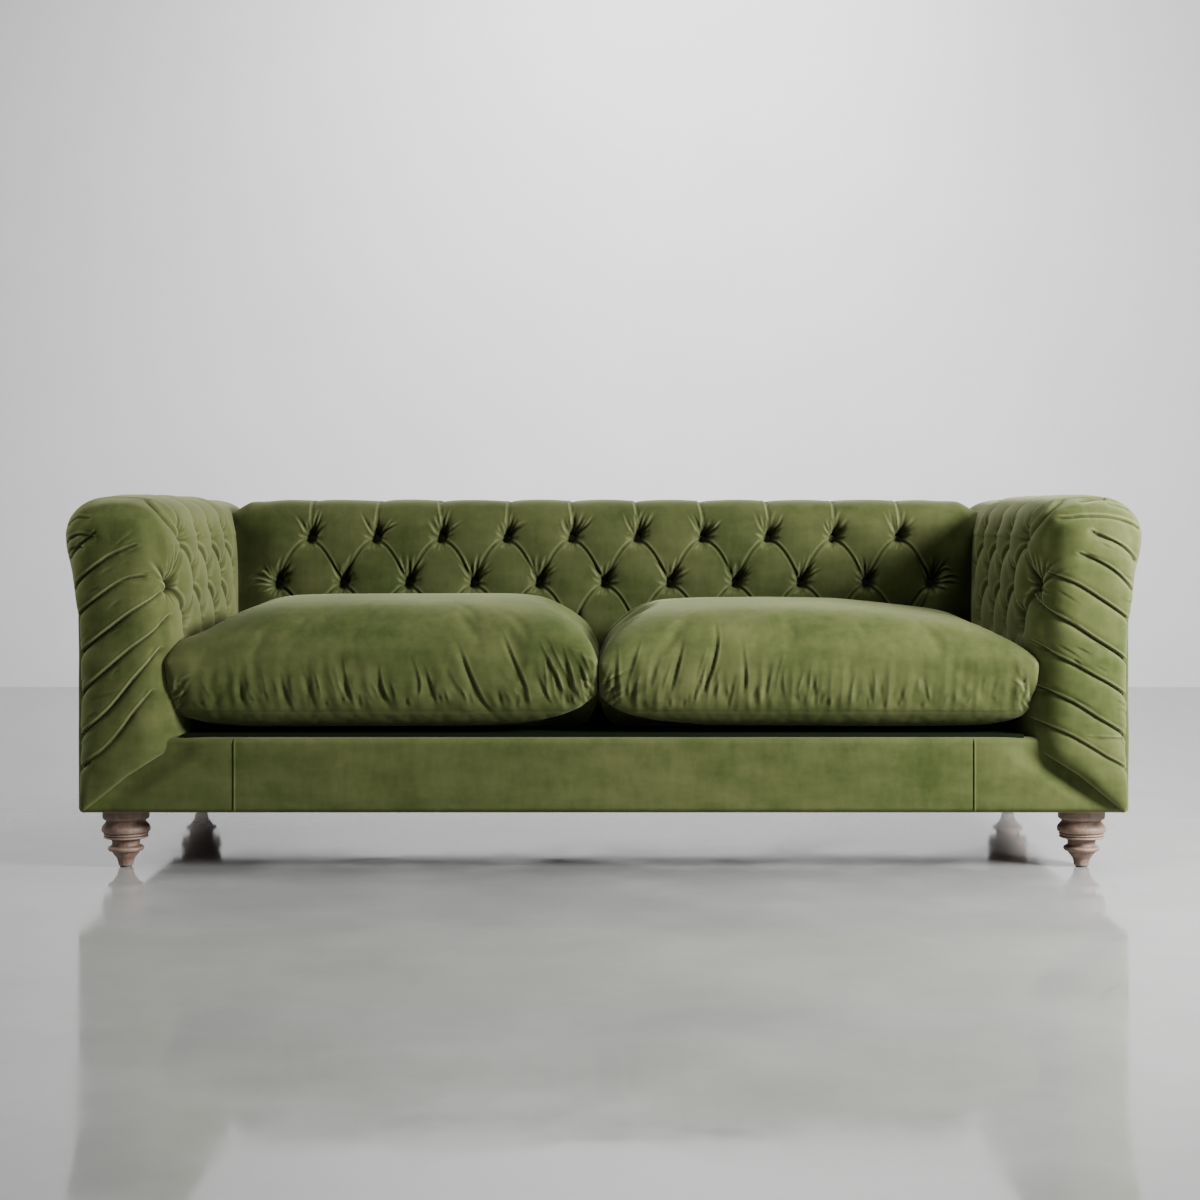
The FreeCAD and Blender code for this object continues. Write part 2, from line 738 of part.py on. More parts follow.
backTools = [recess(point, backOutward) for line in backRows for point in line]
for upper, lower in zip(backRows, backRows[1:]):
    for point in upper:
        for partner in lower:
            if abs(point.x - partner.x) < pitch:
                backTools.append(tuftPleat(point, partner, backOutward))
for point in backRows[0]:
    start = backPoint(point.x, size("roll_start_height"))
    shoulder = Vector(point.x, start.y + (ridgeFront - start.y) * rollRunShare,
                      start.z + (backTop - start.z) * rollRiseShare)
    crown = Vector(point.x, ridgeFront, backTop)
    heel = Vector(point.x, ridgeRear, backTop)
    inside = Vector(point.x, ridgeRear, start.z)
    backTools += rollPleats(point, [shoulder, crown, heel], inside)
feature("back_pad", backBlank.cut(Part.makeCompound(backSlots)).cut(backTools))
feature("back_buttons", Part.makeCompound([button(point, backOutward) for line in backRows for point in line]))


# Arm pad: the section of a scroll arm, drawn in at the front so that its edges are round.
outerInsetShare = 0.4


def armSection(y, inset):
    inner = size("arm_inner") + inset
    outer = size("overall_width") / 2 - inset * outerInsetShare
    top = size("overall_height") - inset
    start = Vector(inner + size("arm_face_lean"), y, size("roll_start_height") - inset)
    crown = Vector(inner + size("arm_face_lean") + size("arm_roll_run"), y, top)
    heel = Vector(crown.x + size("arm_ridge_width") - inset, y, top)
    shoulder = Vector(start.x + (crown.x - start.x) * rollRunShare, y, start.z + (top - start.z) * rollRiseShare)
    widest = Vector(outer, y, size("roll_widest_height"))
    outerShoulder = Vector(heel.x + (outer - heel.x) * rearBulgeShare, y, top - (top - widest.z) * rearDropShare)
    tuck = Vector(outer - size("roll_lip"), y, size("roll_underside_height"))
    wall = size("rail_outer") - inset * outerInsetShare
    under = Vector(wall, y, size("roll_underside_height"))
    base = Vector(wall, y, size("rail_top"))
    foot = Vector(inner, y, size("rail_top"))
    return Part.Wire([
        Part.LineSegment(foot, start).toShape(),
        Part.Arc(start, shoulder, crown).toShape(),
        Part.LineSegment(crown, heel).toShape(),
        Part.Arc(heel, outerShoulder, widest).toShape(),
        Part.LineSegment(widest, tuck).toShape(),
        Part.LineSegment(tuck, under).toShape(),
        Part.LineSegment(under, base).toShape(),
        Part.LineSegment(base, foot).toShape(),
    ])


frontFace = size("front_face")
depthShares = (0, 0.1, 0.32, 0.67, 1)
insetShares = (1, 0.56, 0.23, 0.05, 0)
armSections = [armSection(frontFace + size("arm_front_round") * depth, size("arm_front_inset") * inset)
               for depth, inset in zip(depthShares, insetShares)]
armSections.append(armSection(lipRear, 0))
armBlank = Part.makeLoft(armSections, True, True)

# The facing runs down over the border's end to the bottom corner.
facingTopShare = 0.35
facingInsetShare = 0.6
facingInner = size("arm_inner") + size("arm_front_inset") * facingInsetShare
facingOuter = size("panel_outer")
facingCorners = [
    Vector(facingOuter - size("facing_edge"), frontFace, size("foot_height")),
    Vector(facingOuter, frontFace, size("foot_height")),
    Vector(facingOuter, frontFace, size("border_top")),
    Vector(size("rail_outer") - size("facing_edge"), frontFace,
           size("border_top") + size("border_height") * facingTopShare),
    Vector(facingInner + size("facing_edge"), frontFace,
           size("border_top") + size("border_height") * facingTopShare),
    Vector(facingInner, frontFace, size("border_top")),
]
facing = Part.Face(Part.makePolygon(facingCorners + facingCorners[:1]))
facing = facing.extrude(Vector(0, size("facing_thickness"), 0))

far = size("overall_width")
armCuts = [
    Part.makeBox(far, size("border_thickness"), size("border_height"),
                 Vector(0, size("border_face"), size("foot_height"))),
    Part.makeBox(far, lipRear, size("roll_underside_height"), Vector(0, size("rail_rear"), 0)),
    Part.makeBox(size("rail_thickness"), size("rail_length"), size("post_top_height") - size("rail_top"),
                 Vector(size("post_inner"), size("post_front"), size("rail_top"))),
    Part.makeBox(size("top_rail_width"), size("rail_length"), size("top_rail_height"),
                 Vector(size("top_rail_inner"), size("post_front"), size("post_top_height"))),
]
armPlain = armBlank.fuse(facing).cut(Part.makeCompound(armCuts))


def armPoint(y, height):
    share = (height - size("rail_top")) / rise
    return Vector(size("arm_inner") + size("arm_face_lean") * share, y, height)


armOutward = Vector(-rise, 0, size("arm_face_lean")).normalize()
armPitch = size("arm_button_pitch")
firstButton = frontFace + size("arm_first_button")
armRoom = size("back_face") - size("recess_mouth") / 2
armRows = []
for row, height in enumerate(rowHeights(size("arm_button_row_pitch"))):
    start = firstButton + (armPitch / 2 if row == 1 else 0)
    count = int((armRoom - start) / armPitch) + 1
    armRows.append([armPoint(start + index * armPitch, height) for index in range(count)])

cornerShare = 0.35
cornerOutward = Vector(-1, -1, 0).normalize()
cornerButton = Vector(size("arm_inner") + size("arm_front_inset") * cornerShare + size("arm_face_lean"),
                      frontFace + size("arm_front_round") * (1 - cornerShare) * cornerShare,
                      size("arm_corner_button_height"))

armTools = [recess(point, armOutward) for line in armRows for point in line]
armTools.append(recess(cornerButton, cornerOutward))
for upper, lower in zip(armRows, armRows[1:]):
    for point in upper:
        for partner in lower:
            if abs(point.y - partner.y) < armPitch:
                armTools.append(tuftPleat(point, partner, armOutward))
armCrown = size("arm_inner") + size("arm_face_lean") + size("arm_roll_run")
for point in armRows[0]:
    start = armPoint(point.y, size("roll_start_height"))
    crown = Vector(armCrown, point.y, size("overall_height"))
    shoulder = Vector(start.x + (crown.x - start.x) * rollRunShare, point.y,
                      start.z + (crown.z - start.z) * rollRiseShare)
    heel = crown + Vector(size("arm_ridge_width"), 0, 0)
    inside = Vector(heel.x, point.y, start.z)
    armTools += rollPleats(point, [shoulder, crown, heel], inside)

# Front pleats run from the inner edge down to the outer one: start and end as shares
# of the arm's width and of the height above the border.
pleatShares = (
    ((0.78, 0.88), (0.95, 0.77)),
    ((0.40, 0.82), (0.93, 0.62)),
    ((0.33, 0.69), (0.92, 0.50)),
    ((0.24, 0.62), (0.91, 0.34)),
    ((0.24, 0.43), (0.90, 0.17)),
    ((0.28, 0.23), (0.90, 0.02)),
)
armWidth = size("overall_width") / 2 - size("arm_inner")
armTall = size("overall_height") - size("border_top")
for start, end in pleatShares:
    upper, lower = [Vector(size("arm_inner") + armWidth * wide, frontFace, size("border_top") + armTall * tall)
                    for wide, tall in (start, end)]
    armTools.append(pleat(upper, lower, Vector(0, -1, 0), size("front_pleat_depth"), size("front_pleat_width")))

rightPad = armPlain.cut(armTools)
rightButtons = [button(point, armOutward) for line in armRows for point in line]
rightButtons.append(button(cornerButton, cornerOutward))
middle = Vector()
sideways = Vector(1, 0, 0)
feature("arm_pad_right", rightPad)
feature("arm_pad_left", rightPad.mirror(middle, sideways))
feature("arm_buttons_right", Part.makeCompound(rightButtons))
feature("arm_buttons_left", Part.makeCompound([item.mirror(middle, sideways) for item in rightButtons]))


# Seat cushions: crowned covers with drawn-in sides round a foam core.
cushionInner = size("cushion_middle_gap") / 2
cushionOuter = size("arm_inner") - size("cushion_side_gap")
cushionFront = frontFace + size("cushion_front_setback")
cushionRear = size("back_face") - size("cushion_side_gap")
cushionMiddle = Vector((cushionInner + cushionOuter) / 2, (cushionFront + cushionRear) / 2, 0)
halfLength = (cushionOuter - cushionInner) / 2
halfDepth = (cushionRear - cushionFront) / 2
crownRun = halfDepth - size("cushion_crown_flat")
crownHeightShares = (0, 0.06, 0.17, 0.5, 0.66, 0.8, 0.91, 1)
crownInsetShares = (0.16, 0.05, 0, 0, 0.05, 0.17, 0.38, 0.78)


def cushionSection(height, inset):
    """A rounded rectangle whose four sides bow inwards."""
    half = Vector(halfLength - inset, halfDepth - inset, 0)
    radius = size("cushion_corner_radius")
    drawn = size("cushion_draw_in")
    bend = radius * (1 - math.sqrt(0.5))
    edges = []
    corners = ((1, -1), (1, 1), (-1, 1), (-1, -1))
    lifted = cushionMiddle + Vector(0, 0, height)
    for (x, y), (nextX, nextY) in zip(corners, corners[1:] + corners[:1]):
        tip = lifted + Vector(x * half.x, y * half.y, 0)
        alongX = Vector(-x * radius, 0, 0)
        alongY = Vector(0, -y * radius, 0)
        knee = tip + Vector(-x * bend, -y * bend, 0)
        first, last = (tip + alongX, tip + alongY) if x * y < 0 else (tip + alongY, tip + alongX)
        edges.append(Part.Arc(first, knee, last).toShape())
        nextTip = lifted + Vector(nextX * half.x, nextY * half.y, 0)
        if x == nextX:
            target = nextTip + Vector(0, -nextY * radius, 0)
            waist = (last + target) / 2 + Vector(-x * drawn, 0, 0)
        else:
            target = nextTip + Vector(-nextX * radius, 0, 0)
            waist = (last + target) / 2 + Vector(0, -y * drawn, 0)
        edges.append(Part.Arc(last, waist, target).toShape())
    return Part.Wire(edges)


cushionBase = size("cushion_base")
cushionTall = size("cushion_height")
cushionSections = [cushionSection(cushionBase + cushionTall * height, crownRun * inset)
                   for height, inset in zip(crownHeightShares, crownInsetShares)]
cushionBlank = Part.makeLoft(cushionSections, True, True)
coreMargin = size("core_margin")
rightCore = Part.makeBox(2 * (halfLength - coreMargin), 2 * (halfDepth - coreMargin), size("core_height"),
                         cushionMiddle + Vector(coreMargin - halfLength, coreMargin - halfDepth,
                                                cushionBase + size("core_lift")))
rightCover = cushionBlank.cut(rightCore)
feature("seat_cushion_right", rightCover)
feature("seat_cushion_left", rightCover.mirror(middle, sideways))
feature("cushion_core_right", rightCore)
feature("cushion_core_left", rightCore.mirror(middle, sideways))

doc.recompute()
for item in doc.Objects:
    if "Invalid" in item.State or "Error" in item.State:
        raise RuntimeError(f"{item.Label} failed: {item.State}")
for item in subParts:
    if item.Shape.isNull() or not item.Shape.isValid():
        raise RuntimeError(f"{item.Label} has no valid shape")

os.makedirs("parts", exist_ok=True)
for item in subParts:
    item.Shape.exportStep(f"parts/{item.Label}.step")
print(len(subParts), "sub-parts")
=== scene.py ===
import json
import math

import bmesh
import bpy
import numpy as np
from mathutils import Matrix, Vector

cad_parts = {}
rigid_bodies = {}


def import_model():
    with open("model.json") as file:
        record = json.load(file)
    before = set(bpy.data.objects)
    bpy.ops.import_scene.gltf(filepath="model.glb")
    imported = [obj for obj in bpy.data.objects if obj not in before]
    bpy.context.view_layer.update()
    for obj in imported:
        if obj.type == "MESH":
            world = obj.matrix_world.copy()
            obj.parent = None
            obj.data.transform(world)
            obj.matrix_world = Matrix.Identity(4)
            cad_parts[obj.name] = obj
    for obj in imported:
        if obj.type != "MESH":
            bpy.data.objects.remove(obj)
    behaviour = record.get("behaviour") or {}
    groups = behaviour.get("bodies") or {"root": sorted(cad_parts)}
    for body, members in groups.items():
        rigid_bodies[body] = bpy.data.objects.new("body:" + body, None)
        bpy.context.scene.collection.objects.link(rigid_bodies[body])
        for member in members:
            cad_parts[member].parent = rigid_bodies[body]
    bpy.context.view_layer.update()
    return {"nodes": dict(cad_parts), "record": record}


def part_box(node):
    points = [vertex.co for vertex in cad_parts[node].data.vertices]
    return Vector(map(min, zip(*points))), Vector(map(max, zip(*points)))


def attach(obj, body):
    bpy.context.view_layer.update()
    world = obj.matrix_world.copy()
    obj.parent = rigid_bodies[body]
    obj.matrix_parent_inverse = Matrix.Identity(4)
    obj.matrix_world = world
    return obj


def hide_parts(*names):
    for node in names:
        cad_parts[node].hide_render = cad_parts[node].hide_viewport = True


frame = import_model()

# The sofa's own frame: metres, -Y is the front, the floor is z = 0.
sofa = {
    "frontFace": -0.475,
    "rearFace": 0.475,
    "backPanelFace": 0.448,
    "armInner": 0.849,
    "deckHeight": 0.2772,
    "backFace": 0.158,
}


def deselectAll():
    if bpy.context.object and bpy.context.object.mode != "OBJECT":
        bpy.ops.object.mode_set(mode="OBJECT")
    bpy.ops.object.select_all(action="DESELECT")


def pick(piece):
    deselectAll()
    piece.select_set(True)
    bpy.context.view_layer.objects.active = piece


def smoothStep(value):
    held = np.clip(value, 0, 1)
    return held * held * (3 - 2 * held)


def places(piece):
    spots = np.empty(len(piece.data.vertices) * 3)
    piece.data.vertices.foreach_get("co", spots)
    return spots.reshape(-1, 3)


def setPlaces(piece, spots):
    piece.data.vertices.foreach_set("co", np.ascontiguousarray(spots, dtype=np.float64).reshape(-1))
    piece.data.update()


def editAll(piece):
    pick(piece)
    bpy.ops.object.mode_set(mode="EDIT")
    bpy.ops.mesh.select_all(action="SELECT")


def mergeDoubles(piece, distance):
    editAll(piece)
    bpy.ops.mesh.remove_doubles(threshold=distance)
    bpy.ops.object.mode_set(mode="OBJECT")


# Puts a modifier on a piece with the given settings and applies it.
def applied(piece, kind, **settings):
    pick(piece)
    modifier = piece.modifiers.new(kind.capitalize(), kind)
    for setting, value in settings.items():
        setattr(modifier, setting, value)
    bpy.ops.object.modifier_apply(modifier=modifier.name)


# A sheet of quads laid over an array of places, rows by columns.
def clothGrid(name, spots, flip=False):
    deselectAll()
    rows, columns, _ = spots.shape
    bpy.ops.mesh.primitive_grid_add(x_subdivisions=columns - 1, y_subdivisions=rows - 1, size=1)
    piece = bpy.context.object
    piece.name = name
    piece.data.name = name
    setPlaces(piece, spots)
    if flip:
        editAll(piece)
        bpy.ops.mesh.flip_normals()
        bpy.ops.object.mode_set(mode="OBJECT")
    bpy.ops.object.shade_smooth()
    return piece


def gridNormals(spots):
    alongColumns = np.gradient(spots, axis=1)
    alongRows = np.gradient(spots, axis=0)
    normals = np.cross(alongColumns, alongRows)
    length = np.linalg.norm(normals, axis=2, keepdims=True)
    return normals / np.maximum(length, 1e-12)


# A smooth line through a few points, as an array.
def smoothPath(points, steps=6):
    spots = np.array(points, float)
    padded = np.vstack([2 * spots[0] - spots[1], spots, 2 * spots[-1] - spots[-2]])
    line = []
    for number in range(len(spots) - 1):
        before, first, second, after = padded[number:number + 4]
        for step in range(steps):
            t = step / steps
            line.append(0.5 * (2 * first + (second - before) * t
                               + (2 * before - 5 * first + 4 * second - after) * t ** 2
                               + (3 * first - before - 3 * second + after) * t ** 3))
    line.append(spots[-1])
    return np.array(line)


def runLengths(line):
    gaps = np.linalg.norm(np.diff(line, axis=0), axis=1)
    return np.concatenate([[0], np.cumsum(gaps)])


# Points at given lengths along a smooth line, and the length at its end.
def profileAt(points, marks, start):
    line = smoothPath(points, 12)
    run = start + runLengths(line)
    return np.stack([np.interp(marks, run, line[:, axis]) for axis in range(2)], axis=1), run[-1]


def evenPath(points, count):
    length = profileAt(points, np.zeros(1), 0)[1]
    return profileAt(points, np.linspace(0, length, count), 0)[0]


# Presses one lapped fold into a height map. Seen along the path, the cloth on its left laps over
# with a small lip and the cloth on its right comes out from under it.
def pressFold(height, flat, points, depth, lapped=0.003, under=0.010, rise=0.06, fade=0.5, sharp=1.0,
              lip=0.0, ends=0.0):
    path = smoothPath(points, 5)
    reach = 3.4 * max(lapped, under)
    low = path.min(axis=0) - reach
    high = path.max(axis=0) + reach
    chosen = np.nonzero(((flat > low) & (flat < high)).all(axis=1))[0]
    if not len(chosen):
        return
    spot = flat[chosen]
    best = np.full(len(chosen), 1e9)
    side = np.zeros(len(chosen))
    along = np.zeros(len(chosen))
    count = len(path) - 1
    for number in range(count):
        start = path[number]
        run = path[number + 1] - start
        share = np.clip((spot - start) @ run / max(run @ run, 1e-12), 0, 1)
        offset = spot - start - share[:, None] * run
        distance = np.hypot(offset[:, 0], offset[:, 1])
        closer = distance < best
        best[closer] = distance[closer]
        side[closer] = (run[0] * offset[:, 1] - run[1] * offset[:, 0])[closer]
        along[closer] = ((number + share) / count)[closer]
    over = side > 0
    width = np.where(over, lapped, under)
    strength = smoothStep(along / max(rise, 1e-6)) * smoothStep((1 - along) / max(fade, 1e-6))
    strength *= 1 + ends * (2 * along - 1) ** 2
    shape = np.exp(-(best / width) ** sharp)
    if lip:
        shape -= np.where(over, lip * np.exp(-((best - 2.4 * lapped) / (1.3 * lapped)) ** 2), 0)
    height[chosen] -= depth * strength * shape


tufts = {
    "pitDepth": 0.034,
    "pitRadius": 0.0120,
    "pitTall": 2.0,
    "dimpleDepth": 0.009,
    "dimpleRadius": 0.030,
    "buttonRadius": 0.0085,
    "buttonHeight": 0.0055,
    "puff": 0.0045,
    "foldDepth": 0.0052,
    "rollFold": 0.0040,
    "seed": 11,
}

# The small folds that fan out from a button: above it, to its sides and below it. A pair is a
# least value and how far chance may add to it.
fan = {
    "above": (-0.66, 0.80, 8),
    "aside": (-1, -1, 1, 1, 1),
    "below": (-0.5, -0.15, 0.2, 0.55),
    "asideAngle": (1.05, 0.5),
    "aboveLength": (0.030, 0.046),
    "asideLength": (0.016, 0.020),
    "belowLength": (0.018, 0.016),
    "aboveDepth": 0.0085,
    "besideDepth": 0.0040,
    "depthShare": (0.55, 0.75),
    "width": (0.0018, 0.0014),
    "start": 0.006,
}


# A button's pit, drawn upwards and leaning to one side, in a wide soft dimple.
def sinkButton(height, flat, centre, lean=0.0, scale=1.0):
    across = flat[:, 0] - centre[0]
    up = flat[:, 1] - centre[1]
    near = np.nonzero((np.abs(across) < 0.09) & (np.abs(up) < 0.11))[0]
    across, up = across[near], up[near]
    above = np.maximum(up, 0)
    tilted = across - lean * above
    distance = np.hypot(tilted, np.where(up > 0, up / tufts["pitTall"], up))
    soft = np.hypot(across, up)
    height[near] -= scale * tufts["pitDepth"] * np.exp(-(distance / (tufts["pitRadius"] * scale)) ** 1.7)
    height[near] -= scale * tufts["dimpleDepth"] * np.exp(-(soft / tufts["dimpleRadius"]) ** 1.25)


def drawn(chance, least, spread):
    return least + spread * chance.random()


def fanFolds(height, flat, centre, chance, lean, scale):
    folds = [(angle, drawn(chance, *fan["aboveLength"]), fan["aboveDepth"])
             for angle in np.linspace(*fan["above"])]
    folds += [(turn * drawn(chance, *fan["asideAngle"]), drawn(chance, *fan["asideLength"]),
               fan["besideDepth"]) for turn in fan["aside"]]
    folds += [(math.pi + angle, drawn(chance, *fan["belowLength"]), fan["besideDepth"])
              for angle in fan["below"]]
    for angle, length, depth in folds:
        turn = angle + lean + 0.14 * (chance.random() - 0.5)
        curl = 0.45 * (chance.random() - 0.5)
        first = np.array([math.sin(turn), math.cos(turn)])
        last = np.array([math.sin(turn + curl), math.cos(turn + curl)])
        begin = np.array(centre) + first * fan["start"]
        middle = begin + first * length * scale * 0.5
        end = middle + last * length * scale * 0.5
        width = drawn(chance, *fan["width"])
        pressFold(height, flat, [begin, middle, end], depth * drawn(chance, *fan["depthShare"]) * scale,
                  lapped=width, under=width * 1.9, rise=0.03, fade=0.85, sharp=1.15, lip=0.25)


# The fold from an upper button to a lower one, bowed to one side.
def diamondFold(height, flat, upper, lower, depth, bow, lapped, under, lip):
    upper = np.array(upper)
    lower = np.array(lower)
    run = lower - upper
    aside = np.array([run[1], -run[0]]) / np.linalg.norm(run)
    points = [upper + run * share + aside * bow * bend
              for share, bend in ((0, 0), (0.16, 0.68), (0.38, 1.0), (0.68, 0.70), (1, 0))]
    pressFold(height, flat, points, depth, lapped, under, rise=0.01, fade=0.01, lip=lip, ends=1.1)


# Each button with the ones half a pitch to its left and right in the row below.
def neighbours(rows, pitch):
    for high, low in zip(rows, rows[1:]):
        for first in high:
            for last in low:
                if abs(first[0] - last[0]) <= pitch * 0.6:
                    yield first, last


# How full the cloth is between buttons: diamonds between the rows, and upright puffs past them.
def tuftPuff(across, up, pitch, rows, reach, power, aboveShare, belowShare):
    top, second, third = rows
    rowStep = top - second
    slope = (up - second) / (2 * rowStep)
    diamonds = np.abs(np.sin(math.pi * (across / pitch + slope)) * np.sin(math.pi * (across / pitch - slope)))
    upright = np.abs(np.cos(math.pi * across / pitch))
    above = smoothStep((up - top) / (reach * rowStep))
    below = smoothStep((third - up) / (reach * rowStep))
    return (diamonds * (1 - above) * (1 - below)
            + upright ** power * (above * aboveShare + below * belowShare))


def ripples(flat, chance, size, length):
    waves = np.zeros(len(flat))
    for _ in range(9):
        angle = chance.random() * math.pi
        pace = 2 * math.pi / (length * (0.6 + chance.random()))
        phase = chance.random() * 6.3
        waves += np.sin((flat[:, 0] * math.cos(angle) + flat[:, 1] * math.sin(angle)) * pace + phase)
    return waves * size / 9


def stackSteps(*runs):
    marks = [runs[0][0]]
    for start, end, step in runs:
        count = max(1, round((end - start) / step))
        marks += list(np.linspace(start, end, count + 1)[1:])
    return np.array(marks)


# Back: a leaning sheet that turns over the top roll and ends under the roll's rear lip.
back = {
    "halfWidth": 0.899,
    "pitch": 0.152,
    "rows": (0.667, 0.561, 0.455),
    "column": 0.0024,
    "rowStops": (0.44, 0.78, 0.93),
    "rowSteps": (0.006, 0.0023, 0.0040, 0.006),
    "profile": ((0.160, 0.262), (0.166, 0.36), (0.173, 0.47), (0.180, 0.60), (0.185, 0.675),
                (0.191, 0.705), (0.204, 0.729), (0.226, 0.744), (0.258, 0.7500), (0.30, 0.751),
                (0.36, 0.7505), (0.41, 0.745), (0.445, 0.732), (0.466, 0.708), (0.474, 0.682),
                (0.473, 0.666), (0.464, 0.656), (0.450, 0.652), (0.443, 0.645), (0.441, 0.60)),
    "endTurn": 0.035,
    "endDrop": 0.026,
    "endTuck": 0.026,
    "ripple": (0.0022, 0.22),
    "puff": {"reach": 0.7, "power": 0.7, "aboveShare": 0.8, "belowShare": 0.5},
    "leftBow": 0.013,
    "rightBow": 0.011,
    "leftFold": {"lapped": 0.0042, "under": 0.0022, "lip": 0.12},
    "rightFold": {"lapped": 0.0020, "under": 0.0040, "lip": 0.25},
    "rollFold": {"lapped": 0.0024, "under": 0.0065, "rise": 0.02, "fade": 0.35, "lip": 0.3},
    "endFold": {"depth": 0.0050, "lapped": 0.002, "under": 0.005, "rise": 0.05, "fade": 0.6, "lip": 0.3},
    "endFolds": ((0.012, 0.075), (-0.002, 0.072), (0.028, 0.052), (-0.016, 0.045)),
    "cornerFold": 0.006,
}


def makeBack():
    chance = np.random.default_rng(tufts["seed"])
    pitch = back["pitch"]
    top, second, third = back["rows"]
    start = back["profile"][0][1]
    _, length = profileAt(back["profile"], np.array([0.0]), start)
    stops = (start, *back["rowStops"], length)
    marks = stackSteps(*zip(stops, stops[1:], back["rowSteps"]))
    line, _ = profileAt(back["profile"], marks, start)
    columns = round(2 * back["halfWidth"] / back["column"])
    across = np.linspace(-back["halfWidth"], back["halfWidth"], columns + 1)
    x, v = np.meshgrid(across, marks)
    y, z = (np.repeat(line[:, axis:axis + 1], len(across), axis=1) for axis in range(2))
    spots = np.stack([x, y, z], axis=2)

    # beside the arms it turns back, drops under their tops and tucks in at the rear
    atEnd = smoothStep((np.abs(x) - 0.765) / 0.125)
    behind = smoothStep((v - 0.97) / 0.07)
    dropped = smoothStep((np.abs(x) - 0.825) / 0.065)
    spots[:, :, 1] += back["endTurn"] * atEnd * (1 - smoothStep((v - 0.74) / 0.10))
    spots[:, :, 2] -= back["endDrop"] * dropped * smoothStep((v - 0.66) / 0.08) * (1 - behind)
    spots[:, :, 1] -= back["endTuck"] * smoothStep((np.abs(x) - 0.850) / 0.049) * behind
    normals = gridNormals(spots)
    flat = np.stack([x.ravel(), v.ravel()], axis=1)
    height = ripples(flat, chance, *back["ripple"])
    inRange = 1 - smoothStep((np.abs(flat[:, 0]) - 0.74) / 0.07)
    puff = tuftPuff(flat[:, 0], flat[:, 1], pitch, back["rows"], **back["puff"]) * inRange
    height += tufts["puff"] * puff

    upper = [((index + 0.5) * pitch, top) for index in range(-5, 5)]
    middle = [(index * pitch, second) for index in range(-5, 6)]
    lower = [((index + 0.5) * pitch, third) for index in range(-5, 5)]
    for first, last in neighbours((upper, middle, lower), pitch):
        jitter = 0.003 * (chance.random() - 0.5)
        if last[0] < first[0]:
            diamondFold(height, flat, first, last, tufts["foldDepth"], back["leftBow"] + jitter,
                        **back["leftFold"])
        else:
            diamondFold(height, flat, first, last, tufts["foldDepth"], -back["rightBow"] + jitter,
                        **back["rightFold"])
    for spot in upper:
        drift = 0.012 * (chance.random() - 0.4)
        path = [spot, (spot[0] + 0.004, top + 0.04)]
        path += [(spot[0] + drift, top + climb) for climb in (0.10, 0.20, 0.30)]
        pressFold(height, flat, path, tufts["rollFold"], **back["rollFold"])
    for side, spot in ((-1, lower[0]), (1, lower[-1])):
        x0 = side * 5 * pitch
        for lift, reach in back["endFolds"]:
            path = [(x0 + side * 0.008, second + lift * 0.3),
                    (x0 + side * reach * 0.6, second + lift + 0.004),
                    (x0 + side * reach, second + lift - 0.004)]
            pressFold(height, flat, path, **back["endFold"])
        corner = [spot, (spot[0] + side * 0.05, third + 0.05), (x0, second)]
        pressFold(height, flat, corner, back["cornerFold"])
    for spot in upper + middle + lower:
        fanFolds(height, flat, spot, chance, lean=0.16, scale=1.0 if spot[1] > third else 0.7)
        sinkButton(height, flat, spot, lean=0.30)
    spots = spots + normals * height.reshape(x.shape)[:, :, None]
    piece = clothGrid("backPad", spots)
    seats = []
    for spot in upper + middle + lower:
        column = int(np.argmin(np.abs(across - spot[0])))
        row = int(np.argmin(np.abs(marks - spot[1])))
        seats.append((spots[row, column], normals[row, column]))
    return piece, seats


